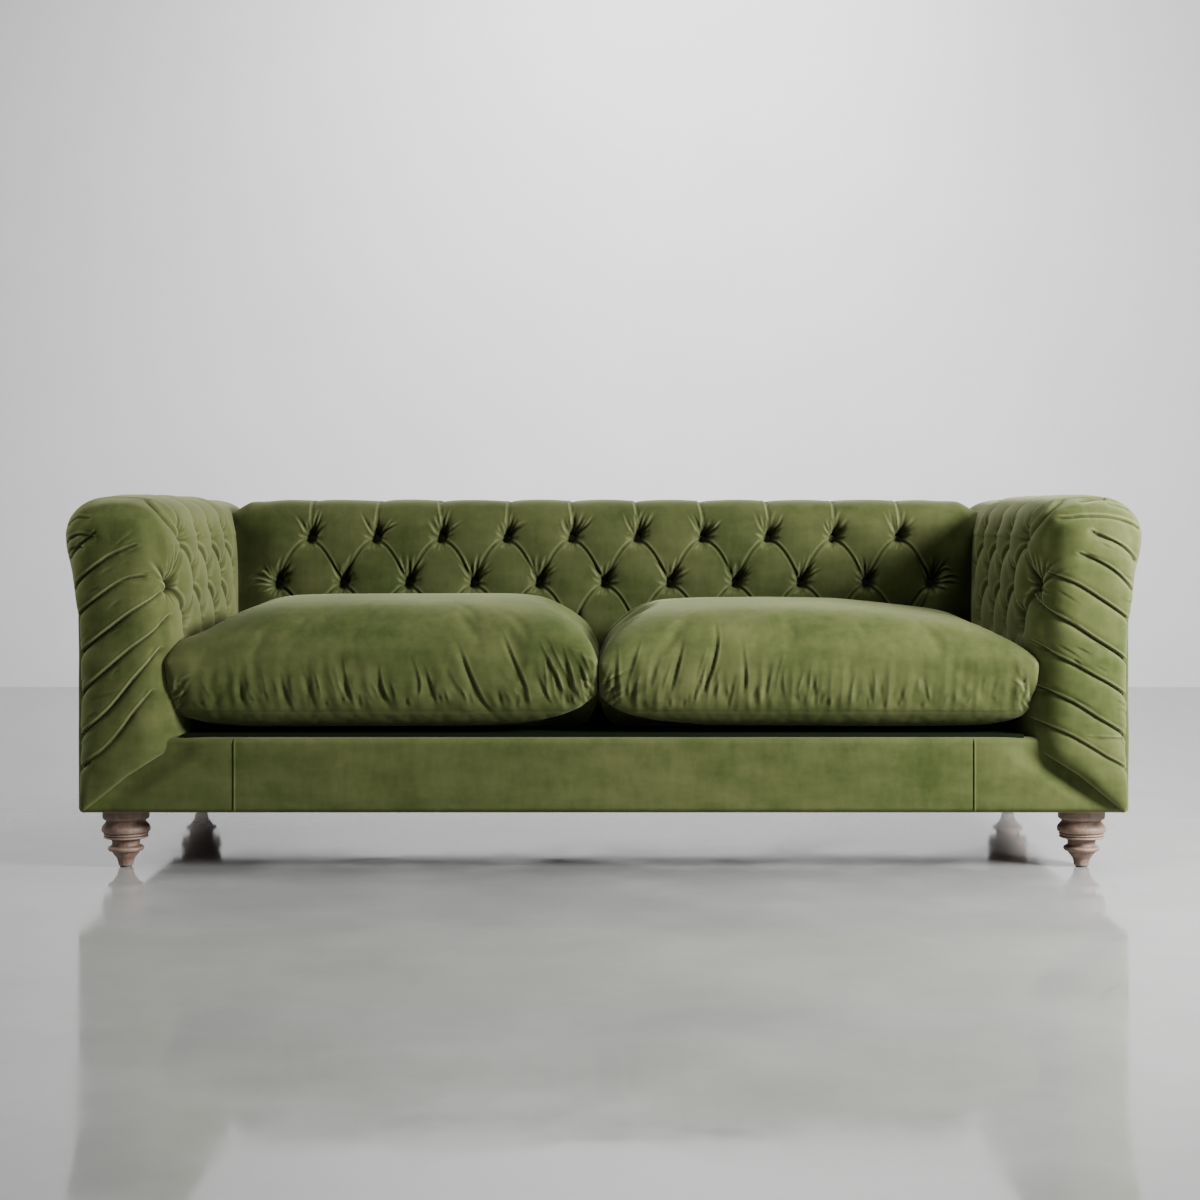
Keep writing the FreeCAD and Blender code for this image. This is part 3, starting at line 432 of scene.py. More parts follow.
# Arms: the section of a scroll arm, closed at the front by a rounded face.
arm = {
    "pitch": 0.150,
    "rows": (0.666, 0.580, 0.494),
    "firstTop": -0.368,
    "cornerButton": (-0.440, 0.580),
    "pairedRows": 220,
    "pairedTop": 0.700,
    "rollStep": 0.0026,
    "runStep": 0.0046,
    "faceSteps": 10,
    "roundSteps": 66,
    "rearSteps": 12,
    "capSteps": 6,
    "faceBulge": 0.017,
    "inner": ((0.849, 0.262), (0.8505, 0.36), (0.852, 0.46), (0.853, 0.56), (0.8555, 0.62), (0.860, 0.665),
              (0.868, 0.700), (0.884, 0.729), (0.909, 0.746), (0.942, 0.7540), (0.975, 0.7550),
              (1.008, 0.7540), (1.038, 0.748), (1.064, 0.734), (1.083, 0.711), (1.0905, 0.686),
              (1.0910, 0.668)),
    "outerStepped": ((1.0910, 0.668), (1.086, 0.656), (1.072, 0.651), (1.053, 0.649), (1.0485, 0.640),
                     (1.048, 0.60), (1.048, 0.45), (1.048, 0.30), (1.048, 0.121)),
    "outerTapered": ((1.0910, 0.668), (1.0895, 0.655), (1.0855, 0.635), (1.078, 0.600), (1.068, 0.545),
                     (1.0605, 0.50), (1.0565, 0.43), (1.055, 0.34), (1.0545, 0.22), (1.051, 0.165),
                     (1.046, 0.120)),
    "medialLow": (0.952, 0.196),
    "medialHigh": (0.985, 0.655),
    "innerTurn": (0.100, 0.120),
    "rollTurn": (0.088, 0.085),
    "outerTurn": (0.075, 0.045),
    "footTurn": (0.022, 0.010),
    "rearRound": 0.060,
    "sideRipple": (0.0024, 0.20),
    "frontRipple": (0.0030, 0.16),
    # how many times as deep as on the back
    "puffMore": 2.0,
    "foldMore": 1.5,
    "rollFoldMore": 1.3,
    "puff": {"reach": 0.8, "power": 0.8, "aboveShare": 0.7, "belowShare": 0.4},
    "forwardFold": {"bow": 0.010, "lapped": 0.006, "under": 0.0026, "lip": 0.25},
    "rearwardFold": {"bow": -0.008, "lapped": 0.0026, "under": 0.008, "lip": 0.25},
    "rollFold": {"lapped": 0.0024, "under": 0.006, "rise": 0.02, "fade": 0.3, "lip": 0.3},
    "rollSeam": {"depth": 0.003, "lapped": 0.003, "under": 0.003, "rise": 0.02, "fade": 0.02},
    "mitre": ((0.862, 0.664), (0.878, 0.690), (0.898, 0.712), (0.920, 0.734), (0.944, 0.752)),
    "mitreFold": {"depth": 0.0060, "lapped": 0.0024, "under": 0.006, "rise": 0.05, "fade": 0.25, "lip": 0.3},
    "creaseShare": 0.80,
    "swellShare": 0.40,
    "puckerShare": 0.32,
    "crease": {"lapped": 0.0016, "under": 0.0038, "rise": 0.10, "fade": 0.02, "lip": 0.38},
    "creaseSwell": {"lapped": 0.0060, "under": 0.015, "rise": 0.25, "fade": 0.05, "sharp": 1.3, "lip": 0.20},
    "puckers": ((0.006, 0.042), (-0.007, 0.034)),
    "pucker": {"lapped": 0.0026, "under": 0.0055, "rise": 0.5, "fade": 0.4, "lip": 0.2},
    "slackFolds": 20,
    "slackFold": {"lapped": 0.0022, "under": 0.005, "rise": 0.4, "fade": 0.5, "lip": 0.2},
}

# Folds of the arm fronts, in metres across and up, from the inner edge down to the outer edge.
leftFrontFolds = (
    (((1.024, 0.706), (1.054, 0.709), (1.080, 0.696)), 0.0042),
    (((1.012, 0.672), (1.050, 0.678), (1.084, 0.662)), 0.0050),
    (((1.034, 0.652), (1.060, 0.653), (1.083, 0.640)), 0.0040),
    (((1.010, 0.684), (1.040, 0.664), (1.080, 0.630)), 0.0050),
    (((0.932, 0.660), (0.995, 0.630), (1.072, 0.566)), 0.0070),
    (((0.914, 0.596), (0.960, 0.587), (1.020, 0.545), (1.064, 0.508)), 0.0070),
    (((0.874, 0.576), (0.905, 0.551), (0.975, 0.500), (1.058, 0.432)), 0.0100),
    (((0.878, 0.520), (0.905, 0.484), (0.975, 0.424), (1.055, 0.350)), 0.0085),
    (((0.892, 0.455), (0.920, 0.414), (0.985, 0.332), (1.055, 0.266)), 0.0085),
    (((0.905, 0.370), (0.930, 0.334), (0.985, 0.262), (1.052, 0.205)), 0.0065),
    (((1.020, 0.226), (1.056, 0.208)), 0.0050),
)
rightFrontFolds = (
    (((0.957, 0.738), (0.985, 0.743), (1.020, 0.747)), 0.0045),
    (((1.012, 0.734), (1.040, 0.733), (1.066, 0.728)), 0.0045),
    (((0.912, 0.706), (0.965, 0.708), (1.035, 0.706), (1.080, 0.690)), 0.0060),
    (((0.965, 0.684), (1.025, 0.662), (1.074, 0.626)), 0.0070),
    (((0.945, 0.644), (1.005, 0.616), (1.064, 0.566)), 0.0070),
    (((0.892, 0.604), (0.955, 0.574), (1.062, 0.502)), 0.0080),
    (((0.862, 0.560), (0.878, 0.540), (0.955, 0.488), (1.054, 0.422)), 0.0105),
    (((0.866, 0.468), (0.915, 0.434), (0.995, 0.388), (1.054, 0.350)), 0.0090),
    (((0.872, 0.376), (0.935, 0.345), (1.054, 0.268)), 0.0085),
    (((0.860, 0.310), (0.935, 0.276), (1.054, 0.203)), 0.0065),
    (((0.965, 0.273), (1.038, 0.270)), 0.0030),
)


def armSheet():
    start = arm["inner"][0][1]
    _, innerEnd = profileAt(arm["inner"], np.array([0.0]), start)
    # as many rows climb the inner side as come down the outer side, and each pair meets on one medial point
    pairs = arm["pairedRows"]
    marks = np.concatenate([np.linspace(start, arm["pairedTop"], pairs),
                            stackSteps((arm["pairedTop"], innerEnd, arm["rollStep"]))[1:]])
    innerLine, _ = profileAt(arm["inner"], marks, start)
    stepped = np.vstack([innerLine, evenPath(arm["outerStepped"], pairs)[1:]])
    tapered = np.vstack([innerLine, evenPath(arm["outerTapered"], pairs)[1:]])
    rowMarks = np.concatenate([marks, innerEnd + np.linspace(0, 0.55, pairs)[1:]])
    count = len(rowMarks)

    # how far the front rounding reaches across the face and back along the side, for each row
    stops = (start, start + 0.46, innerEnd, innerEnd + 0.12, innerEnd + 0.42, innerEnd + 0.53)
    turns = np.array([arm[key] for key in ("innerTurn", "innerTurn", "rollTurn", "outerTurn", "outerTurn",
                                           "footTurn")])
    wide = np.interp(rowMarks, stops, turns[:, 0])
    deep = np.interp(rowMarks, stops, turns[:, 1])
    climb = np.ones(count)
    climb[:pairs] = np.linspace(0, 1, pairs)
    climb[-pairs:] = np.linspace(1, 0, pairs)
    medialLow = np.array(arm["medialLow"])
    medial = medialLow + climb[:, None] * (np.array(arm["medialHigh"]) - medialLow)
    gap = np.linalg.norm(tapered - medial, axis=1)
    wide = np.minimum(wide, gap * 0.94)
    front = sofa["frontFace"]
    columns = []
    faceSteps, roundSteps = arm["faceSteps"], arm["roundSteps"]
    rearSteps, capSteps = arm["rearSteps"], arm["capSteps"]
    for step in range(faceSteps):
        reach = 1 - step / faceSteps * (1 - wide / gap)
        line = tapered + (medial - tapered) * reach[:, None]
        columns.append(np.stack([line[:, 0], np.full(count, front), line[:, 1]], axis=1))
    for step in range(roundSteps):
        angle = step / roundSteps * math.pi / 2
        line = tapered + (medial - tapered) * (wide * (1 - math.sin(angle)) / gap)[:, None]
        columns.append(np.stack([line[:, 0], front + deep * (1 - math.cos(angle)), line[:, 1]], axis=1))
    runColumn = len(columns)
    rearStart = sofa["rearFace"] - arm["rearRound"]
    runCount = round((rearStart - front) / arm["runStep"])
    for step in range(runCount + 1):
        y = front + deep + (rearStart - front - deep) * step / runCount
        mix = smoothStep((y - front - 0.03) / 0.07)[:, None]
        line = tapered * (1 - mix) + stepped * mix
        columns.append(np.stack([line[:, 0], y, line[:, 1]], axis=1))
    rearFace = np.interp(stepped[:, 1], (0.648, 0.662), (sofa["backPanelFace"] - 0.009, sofa["rearFace"]))
    rearHeight = np.interp(stepped[:, 1], (0.262, 0.648, 0.662, 0.757), (0.25, 0.648, 0.662, 0.70))
    rearMedial = np.stack([np.full(count, medialLow[0]), rearHeight], axis=1)
    rearGap = np.linalg.norm(stepped - rearMedial, axis=1)
    rearHeld = np.minimum(arm["rearRound"], rearGap * 0.9) * smoothStep((stepped[:, 1] - 0.62) / 0.05)
    for step in range(1, rearSteps + 1):
        angle = step / rearSteps * math.pi / 2
        line = stepped + (rearMedial - stepped) * (rearHeld * (1 - math.cos(angle)) / rearGap)[:, None]
        y = rearStart + (rearFace - rearStart) * math.sin(angle)
        columns.append(np.stack([line[:, 0], y, line[:, 1]], axis=1))
    for step in range(1, capSteps + 1):
        reach = rearHeld / rearGap + (1 - rearHeld / rearGap) * step / capSteps
        line = stepped + (rearMedial - stepped) * reach[:, None]
        columns.append(np.stack([line[:, 0], rearFace, line[:, 1]], axis=1))
    spots = np.stack(columns, axis=1)
    steps = np.linalg.norm(np.diff(spots, axis=1), axis=2)
    u = np.concatenate([np.zeros((count, 1)), np.cumsum(steps, axis=1)], axis=1)
    u += (front + deep - u[:, runColumn])[:, None]
    normals = -gridNormals(spots)
    normals[:, :faceSteps - 2] = (0, -1, 0)
    normals[:, -capSteps + 1:] = (0, 1, 0)
    return spots, normals, u, rowMarks, innerEnd, tapered


def makeArm(side, folds):
    name = "armPadLeft" if side < 0 else "armPadRight"
    chance = np.random.default_rng(tufts["seed"] + (3 if side < 0 else 7))
    spots, normals, u, rowMarks, innerEnd, tapered = armSheet()
    v = np.repeat(rowMarks[:, None], u.shape[1], axis=1)
    flat = np.stack([u.ravel(), v.ravel()], axis=1)
    frontView = np.stack([spots[:, :, 0].ravel(), spots[:, :, 2].ravel()], axis=1)
    facing = -normals[:, :, 1].ravel()
    atFront = smoothStep(facing / 0.5)
    height = (ripples(flat, chance, *arm["sideRipple"]) * (1 - atFront)
              + ripples(frontView, chance, *arm["frontRipple"]) * atFront)
    onSide = smoothStep((flat[:, 0] + 0.475) / 0.03) * (1 - smoothStep((flat[:, 0] - 0.13) / 0.05))
    pitch = arm["pitch"]
    top, second, third = arm["rows"]
    puff = tuftPuff(flat[:, 0] - arm["cornerButton"][0], flat[:, 1], pitch, arm["rows"], **arm["puff"])
    topFade = 1 - smoothStep((flat[:, 1] - 0.98) / 0.10)
    height += tufts["puff"] * arm["puffMore"] * puff * onSide * topFade

    upper = [(arm["firstTop"] + index * pitch, top) for index in range(4)]
    middle = [(arm["cornerButton"][0] + index * pitch, second) for index in range(5)]
    lower = [(arm["firstTop"] + index * pitch, third) for index in range(4)]
    for first, last in neighbours((upper, middle, lower), pitch):
        kind = "forwardFold" if last[0] < first[0] else "rearwardFold"
        diamondFold(height, flat, first, last, tufts["foldDepth"] * arm["foldMore"], **arm[kind])
    for number, spot in enumerate(upper):
        drift = -0.030 if number == 0 else 0.006 * (chance.random() - 0.5)
        path = [spot] + [(spot[0] + drift * share, top + climb)
                         for share, climb in ((0.35, 0.05), (0.9, 0.12), (1, 0.20), (1, 0.29))]
        pressFold(height, flat, path, tufts["rollFold"] * arm["rollFoldMore"], **arm["rollFold"])
    pressFold(height, frontView, arm["mitre"], **arm["mitreFold"])
    for number, spot in enumerate(middle[:1] + upper + middle[1:] + lower):
        fanFolds(height, flat, spot, chance, lean=-0.10, scale=1.25 if number == 0 else 0.95)
        sinkButton(height, flat, spot, lean=-0.15, scale=0.65 if number == 0 else 1.0)

    # the lapped folds of the front are pressed along the view from the front
    frontHeight = np.zeros(len(flat))
    for points, depth in folds:
        pressFold(frontHeight, frontView, points, depth * arm["creaseShare"], **arm["crease"])
        pressFold(frontHeight, frontView, points, depth * arm["swellShare"], **arm["creaseSwell"])
        root = np.array(points[0])
        ahead = np.array(points[1]) - root
        ahead = ahead / np.linalg.norm(ahead)
        aside = np.array([-ahead[1], ahead[0]])
        for offset, reach in arm["puckers"]:
            begin = root + aside * offset * drawn(chance, 0.6, 0.8) - ahead * 0.012 * chance.random()
            end = root + ahead * reach * drawn(chance, 0.8, 0.6)
            pressFold(frontHeight, frontView, [begin, (begin + end) / 2 + aside * offset * 0.25, end],
                      depth * arm["puckerShare"], **arm["pucker"])
    for _ in range(arm["slackFolds"]):
        x = drawn(chance, 0.90, 0.14)
        z = drawn(chance, 0.28, 0.42)
        length = drawn(chance, 0.030, 0.045)
        tilt = -0.55 + 0.4 * (chance.random() - 0.5)
        end = (x + length * math.cos(tilt), z + length * math.sin(tilt))
        pressFold(frontHeight, frontView, [(x, z), ((x + end[0]) / 2, (z + end[1]) / 2 + 0.002), end],
                  drawn(chance, 0.0012, 0.0012), **arm["slackFold"])

    # the face is plump between its edges and turns under along the hem
    centre = (np.array(arm["medialLow"]) + np.array(arm["medialHigh"])) / 2
    belly = np.exp(-((frontView[:, 0] - centre[0]) / 0.085) ** 2)
    hem = np.array([tapered[-1], arm["medialLow"], arm["inner"][0]])
    fromHem = np.full(len(flat), 1.0)
    for first, second in ((hem[0], hem[1]), (hem[1], hem[2])):
        run = second - first
        share = np.clip((frontView - first) @ run / (run @ run), 0, 1)
        offset = frontView - first - share[:, None] * run
        fromHem = np.minimum(fromHem, np.hypot(offset[:, 0], offset[:, 1]))
    turned = np.sqrt(np.clip(1 - (1 - np.clip(fromHem / 0.030, 0, 1)) ** 2, 0, 1))
    height += frontHeight * smoothStep(facing / 0.45)
    height += arm["faceBulge"] * (0.35 + 0.65 * belly) * turned * smoothStep((facing - 0.35) / 0.6)
    seam = [(place, innerEnd + 0.012) for place in (0.40, 0.0, -0.40)]
    pressFold(height, flat, seam, **arm["rollSeam"])

    spots = spots + normals * height.reshape(u.shape)[:, :, None]
    seats = []
    for spot in upper + middle + lower:
        row = int(np.argmin(np.abs(rowMarks - spot[1])))
        column = int(np.argmin(np.abs(u[row] - spot[0])))
        seats.append((spots[row, column] * (side, 1, 1), normals[row, column] * (side, 1, 1)))
    piece = clothGrid(name, spots * (side, 1, 1), flip=side > 0)
    mergeDoubles(piece, 0.0002)
    return piece, seats


print("tufting the back and the arms")
backPiece, backSeats = makeBack()
armPieces = {}
armSeats = {}
for sideName, side, folds in (("left", -1, leftFrontFolds), ("right", 1, rightFrontFolds)):
    armPieces[sideName], armSeats[sideName] = makeArm(side, folds)


# Cushions: feather-filled covers, seamed low on their sides, pressed up by their filling.
# Seen from the front, top and bottom are points across and up, and endLine is points up and across.
cushion = {
    "left": {
        "ends": (-0.844, -0.0045),
        "bulge": -1,
        "endLine": ((0.292, -0.810), (0.300, -0.834), (0.311, -0.858), (0.325, -0.871), (0.350, -0.877),
                    (0.380, -0.879), (0.408, -0.882), (0.425, -0.886), (0.440, -0.887), (0.455, -0.874),
                    (0.470, -0.852)),
        "lean": 0.22,
        "seed": 5,
        "top": ((-0.895, 0.452), (-0.870, 0.470), (-0.850, 0.482), (-0.804, 0.500), (-0.763, 0.511),
                (-0.720, 0.518), (-0.667, 0.524), (-0.580, 0.527), (-0.460, 0.528), (-0.300, 0.528),
                (-0.200, 0.527), (-0.128, 0.524), (-0.088, 0.519), (-0.058, 0.507), (-0.032, 0.492),
                (-0.018, 0.480), (-0.004, 0.462)),
        "bottom": ((-0.890, 0.322), (-0.872, 0.314), (-0.850, 0.306), (-0.81, 0.296), (-0.71, 0.285),
                   (-0.27, 0.287), (-0.175, 0.293), (-0.125, 0.302), (-0.085, 0.313), (-0.047, 0.329),
                   (-0.008, 0.360)),
    },
    "right": {
        "ends": (-0.0175, 0.836),
        "bulge": 1,
        "endLine": ((0.292, 0.812), (0.300, 0.838), (0.313, 0.861), (0.327, 0.866), (0.353, 0.871),
                    (0.387, 0.876), (0.421, 0.878), (0.441, 0.866), (0.455, 0.846)),
        "lean": -0.10,
        "seed": 23,
        "top": ((-0.018, 0.456), (-0.004, 0.470), (0.016, 0.488), (0.035, 0.499), (0.060, 0.507),
                (0.112, 0.515), (0.220, 0.519), (0.350, 0.519), (0.500, 0.516), (0.595, 0.508),
                (0.677, 0.500), (0.729, 0.495), (0.793, 0.486), (0.833, 0.474), (0.853, 0.466),
                (0.890, 0.450)),
        "bottom": ((-0.016, 0.358), (0.019, 0.328), (0.054, 0.313), (0.112, 0.300), (0.21, 0.290),
                   (0.60, 0.285), (0.78, 0.290), (0.83, 0.300), (0.857, 0.315), (0.872, 0.335)),
    },
    "front": -0.481,
    "rear": 0.150,
    "segments": 200,
    "rings": 90,
    "lowEndShare": 0.45,
    "waist": 0.408,
    "base": 0.2805,
    "seam": 0.322,
    "corner": 0.020,
    "drawIn": 0.006,
    "frontBulge": 0.046,
    "voxel": 0.0066,
    "frames": 20,
    "cloth": {"quality": 6, "mass": 0.25, "tension_stiffness": 12, "compression_stiffness": 12,
              "shear_stiffness": 4, "bending_stiffness": 0.5, "shrink_min": -0.008, "use_pressure": True,
              "uniform_pressure_force": 4.0, "vertex_group_mass": "held"},
    "restHold": 0.7,
    "softEdge": 0.004,
    "cap": 0.022,
    "upperInsets": (0.000, 0.002, 0.006, 0.012, 0.020, 0.030, 0.045, 0.065, 0.09, 0.13, 0.18, 0.24, 0.30),
    "frontRise": ((0.000, 0.04), (0.004, 0.20), (0.012, 0.36), (0.024, 0.50), (0.040, 0.62), (0.060, 0.72),
                  (0.085, 0.80), (0.12, 0.875), (0.16, 0.925), (0.21, 0.965), (0.26, 0.99), (0.32, 1.0)),
    "endRise": ((0.000, 0.25), (0.003, 0.55), (0.008, 0.76), (0.016, 0.90), (0.030, 0.98), (0.045, 1.0)),
    "lowerRings": ((0.000, 0.00), (0.001, 0.18), (0.005, 0.36), (0.013, 0.55), (0.024, 0.71),
                   (0.040, 0.85), (0.062, 0.95), (0.09, 1.0), (0.15, 1.0), (0.22, 1.0), (0.30, 1.0)),
    "endPush": (0.000, 0.003, 0.008, 0.014, 0.019, 0.020, 0.012, 0.0, 0.0, 0.0, 0.0),
    "seamDepth": 0.0007,
    "seamWidth": 0.003,
    "creaseShare": 0.50,
    "swellShare": 0.25,
    "crease": {"lapped": 0.0024, "under": 0.0050, "rise": 0.55, "fade": 0.35, "lip": 0.45},
    "creaseSwell": {"lapped": 0.008, "under": 0.013, "rise": 0.6, "fade": 0.35, "sharp": 1.6},
    "waves": 7,
    "ruches": 62,
    "ruche": {"rise": 0.60, "fade": 0.75, "lip": 0.55},
    "endFolds": 6,
    "endFold": {"depth": 0.0034, "lapped": 0.0022, "under": 0.0055, "rise": 0.25, "fade": 0.8, "lip": 0.3},
    "topRipple": (0.0030, 0.30),
    "innerLimits": {"left": -0.0118, "right": -0.0102},
}


# A rectangle with rounded corners and drawn-in sides, at an inset, as one ring of places.
def cushionRing(turns, middle, half, inset, endShare=1.0):
    direct = np.stack([np.cos(turns), np.sin(turns)], axis=1)
    square = direct / np.abs(direct).max(axis=1, keepdims=True)
    room = np.maximum(np.array(half) - np.array((inset * endShare, inset)), 0.004)
    ring = square * room
    radius = min(cushion["corner"] + 0.7 * inset, room.min() * 0.95)
    beyond = np.abs(ring) - (room - radius)
    inCorner = (beyond > 0).all(axis=1)
    length = np.maximum(np.hypot(beyond[:, 0], beyond[:, 1]), 1e-9)
    pulled = np.sign(ring) * (room - radius + beyond / length[:, None] * radius)
    ring = np.where(inCorner[:, None], pulled, ring)
    shares = ring / room
    ring = ring * (1 - cushion["drawIn"] / room * (1 - shares[:, ::-1] ** 2))
    return ring + middle


def cushionForm(values):
    deselectAll()
    bpy.ops.mesh.primitive_uv_sphere_add(segments=cushion["segments"], ring_count=cushion["rings"], radius=1)
    piece = bpy.context.object
    ball = places(piece)
    low, high = values["ends"]
    middle = np.array([(low + high) / 2, (cushion["front"] + cushion["rear"]) / 2])
    half = np.array([(high - low) / 2, (cushion["rear"] - cushion["front"]) / 2])
    lift = np.arcsin(np.clip(ball[:, 2], -1, 1)) / (math.pi / 2)
    turn = np.arctan2(ball[:, 1], ball[:, 0])
    upper = lift >= 0
    spread = np.abs(lift) ** 1.2
    upperInsets = np.array(cushion["upperInsets"])
    lowerRings = np.array(cushion["lowerRings"])
    spots = np.zeros_like(ball)
    push = np.zeros(len(ball))
    for level in np.unique(lift.round(6)):
        chosen = np.nonzero(np.abs(lift - level) < 1e-5)[0]
        table = upperInsets if level >= 0 else lowerRings[:, 0]
        place = spread[chosen[0]] * (len(table) - 1)
        inset = np.interp(place, np.arange(len(table)), table)
        endShare = 1.0 if level >= 0 else cushion["lowEndShare"]
        spots[chosen, :2] = cushionRing(turn[chosen], middle, half, inset, endShare)
        if level < 0:
            spots[chosen, 2] = np.interp(place, np.arange(len(table)), lowerRings[:, 1])
            push[chosen] = np.interp(place, np.arange(len(table)), cushion["endPush"])
    frontRise = np.array(cushion["frontRise"])
    endRise = np.array(cushion["endRise"])
    fromEdge = np.minimum(spots[:, 1] - cushion["front"], cushion["rear"] - spots[:, 1])
    fromEnd = np.minimum(spots[:, 0] - low, high - spots[:, 0])
    rise = np.interp(fromEdge, frontRise[:, 0], frontRise[:, 1])
    rise *= np.interp(fromEnd, endRise[:, 0], endRise[:, 1])
    spots[:, 2] = np.where(upper & (np.abs(lift) > 1e-5), rise, spots[:, 2])
    outer = smoothStep((np.abs(spots[:, 0] - middle[0]) / half[0] - 0.80) / 0.20)
    outer *= (np.sign(spots[:, 0] - middle[0]) == values["bulge"])
    forward = smoothStep((-0.375 - spots[:, 1]) / 0.08)
    spots[:, 0] += values["bulge"] * (cushion["frontBulge"] * outer * forward + push * outer)
    topLine = np.array(values["top"])
    bottomLine = np.array(values["bottom"])
    top = np.interp(spots[:, 0], topLine[:, 0], topLine[:, 1])
    bottom = np.interp(spots[:, 0], bottomLine[:, 0], bottomLine[:, 1])
    bottom = cushion["base"] + (bottom - cushion["base"]) * (1 - smoothStep(fromEdge / 0.10))
    waist = cushion["waist"]
    spots[:, 2] = np.where(upper, waist + (top - waist) * spots[:, 2], waist - (waist - bottom) * spots[:, 2])
    setPlaces(piece, spots)
    return piece


def vertexNormals(piece):
    normals = np.empty(len(piece.data.vertices) * 3)
    piece.data.vertices.foreach_get("normal", normals)
    return normals.reshape(-1, 3)


# The filling presses the cover out, held at its seam and where it rests.
def swell(piece):
    scene = bpy.context.scene
    start = places(piece)
    normals = vertexNormals(piece)
    outward = np.abs(normals[:, 2]) < 0.8
    atSeam = np.nonzero((np.abs(start[:, 2] - cushion["seam"]) < cushion["voxel"] * 0.55) & outward)[0]
    resting = np.nonzero(normals[:, 2] < -0.85)[0]
    held = piece.vertex_groups.new(name="held")
    held.add([int(index) for index in atSeam], 1.0, "REPLACE")
    held.add([int(index) for index in resting], cushion["restHold"], "REPLACE")
    cloth = piece.modifiers.new("Cloth", "CLOTH")
    for setting, value in cushion["cloth"].items():
        setattr(cloth.settings, setting, value)
    cloth.settings.effector_weights.gravity = 0
    cloth.collision_settings.use_collision = False
    cloth.point_cache.frame_start = 1
    cloth.point_cache.frame_end = cushion["frames"]
    for step in range(1, cushion["frames"] + 1):
        scene.frame_set(step)
    pick(piece)
    bpy.ops.object.modifier_apply(modifier=cloth.name)
    scene.frame_set(1)
    moved = places(piece) - start
    length = np.linalg.norm(moved, axis=1, keepdims=True)
    most, mean = length.max() * 1000, length.mean() * 1000
    print(f"{piece.name} swelled by up to {most:.1f} mm, {mean:.1f} mm on average")
    capped = cushion["cap"] * np.tanh(length / cushion["cap"])
    setPlaces(piece, start + moved * capped / np.maximum(length, 1e-9))


# Brings the outer end of a cushion to its outline, and lifts the underside of its front to its own.
def trimOutline(piece, values):
    spots = places(piece)
    outward = spots[:, 0] * values["bulge"]
    forward = smoothStep((-0.34 - spots[:, 1]) / 0.10)
    line = np.array(values["endLine"])
    levels = np.arange(line[0, 0], line[-1, 0], 0.005)
    atFront = spots[:, 1] < -0.42
    reached = np.array([outward[(np.abs(spots[:, 2] - level) < 0.004) & atFront].max() for level in levels])
    wanted = np.interp(levels, line[:, 0], line[:, 1] * values["bulge"])
    smoothed = np.convolve(np.pad(wanted - reached, 2, "edge"), np.ones(5) / 5, "valid")
    shift = np.interp(spots[:, 2], levels, smoothed)
    shift *= smoothStep((spots[:, 2] - 0.280) / 0.015) * smoothStep((0.485 - spots[:, 2]) / 0.02)
    nearEnd = smoothStep((outward - 0.760) / 0.085)
    spots[:, 0] += values["bulge"] * shift * nearEnd * forward
    bottomLine = np.array(values["bottom"])
    limit = np.interp(spots[:, 0], bottomLine[:, 0], bottomLine[:, 1])
    limit = 0.26 + (limit - 0.26) * smoothStep((-0.30 - spots[:, 1]) / 0.08)
    soft = cushion["softEdge"]
    spots[:, 2] = limit + soft * np.logaddexp(0, (spots[:, 2] - limit) / soft)
    setPlaces(piece, spots)


# Wrinkles of the cushion fronts as seen from the front: points in metres across and up, and a depth.
cushionFolds = {
    "left": (
        (((-0.300, 0.470), (-0.285, 0.437), (-0.272, 0.405), (-0.245, 0.345), (-0.218, 0.311)), 0.0100),
        (((-0.212, 0.490), (-0.200, 0.470), (-0.185, 0.435), (-0.157, 0.368), (-0.152, 0.325)), 0.0075),
        (((-0.140, 0.478), (-0.105, 0.410), (-0.073, 0.338)), 0.0080),
        (((-0.092, 0.478), (-0.069, 0.405), (-0.060, 0.365)), 0.0060),
        (((-0.140, 0.408), (-0.103, 0.328)), 0.0060),
        (((-0.093, 0.432), (-0.050, 0.338)), 0.0065),
        (((-0.033, 0.398), (-0.025, 0.358), (-0.033, 0.342)), 0.0050),
        (((-0.050, 0.450), (-0.028, 0.395)), 0.0045),
        (((-0.365, 0.425), (-0.350, 0.380), (-0.335, 0.330)), 0.0070),
        (((-0.395, 0.450), (-0.372, 0.385), (-0.376, 0.345)), 0.0060),
        (((-0.455, 0.430), (-0.448, 0.380), (-0.428, 0.325)), 0.0065),
        (((-0.530, 0.445), (-0.520, 0.390), (-0.500, 0.320)), 0.0045),
        (((-0.600, 0.425), (-0.592, 0.380), (-0.580, 0.325)), 0.0045),
        (((-0.650, 0.410), (-0.643, 0.370), (-0.622, 0.315)), 0.0045),
        (((-0.735, 0.405), (-0.728, 0.365), (-0.722, 0.325)), 0.0050),
    ),
    "right": (
        (((0.222, 0.515), (0.230, 0.468), (0.215, 0.400), (0.188, 0.330)), 0.0095),
        (((0.208, 0.438), (0.176, 0.330)), 0.0070),
        (((0.276, 0.488), (0.285, 0.400), (0.280, 0.350)), 0.0065),
        (((0.264, 0.406), (0.248, 0.320)), 0.0060),
        (((0.165, 0.488), (0.150, 0.420), (0.128, 0.340)), 0.0065),
        (((0.080, 0.488), (0.042, 0.370)), 0.0050),
        (((0.012, 0.378), (0.022, 0.335)), 0.0050),
        (((0.335, 0.420), (0.322, 0.335)), 0.0050),
        (((0.420, 0.415), (0.426, 0.335)), 0.0050),
        (((0.530, 0.405), (0.540, 0.330)), 0.0045),
        (((0.640, 0.400), (0.655, 0.330)), 0.0045),
    ),
}


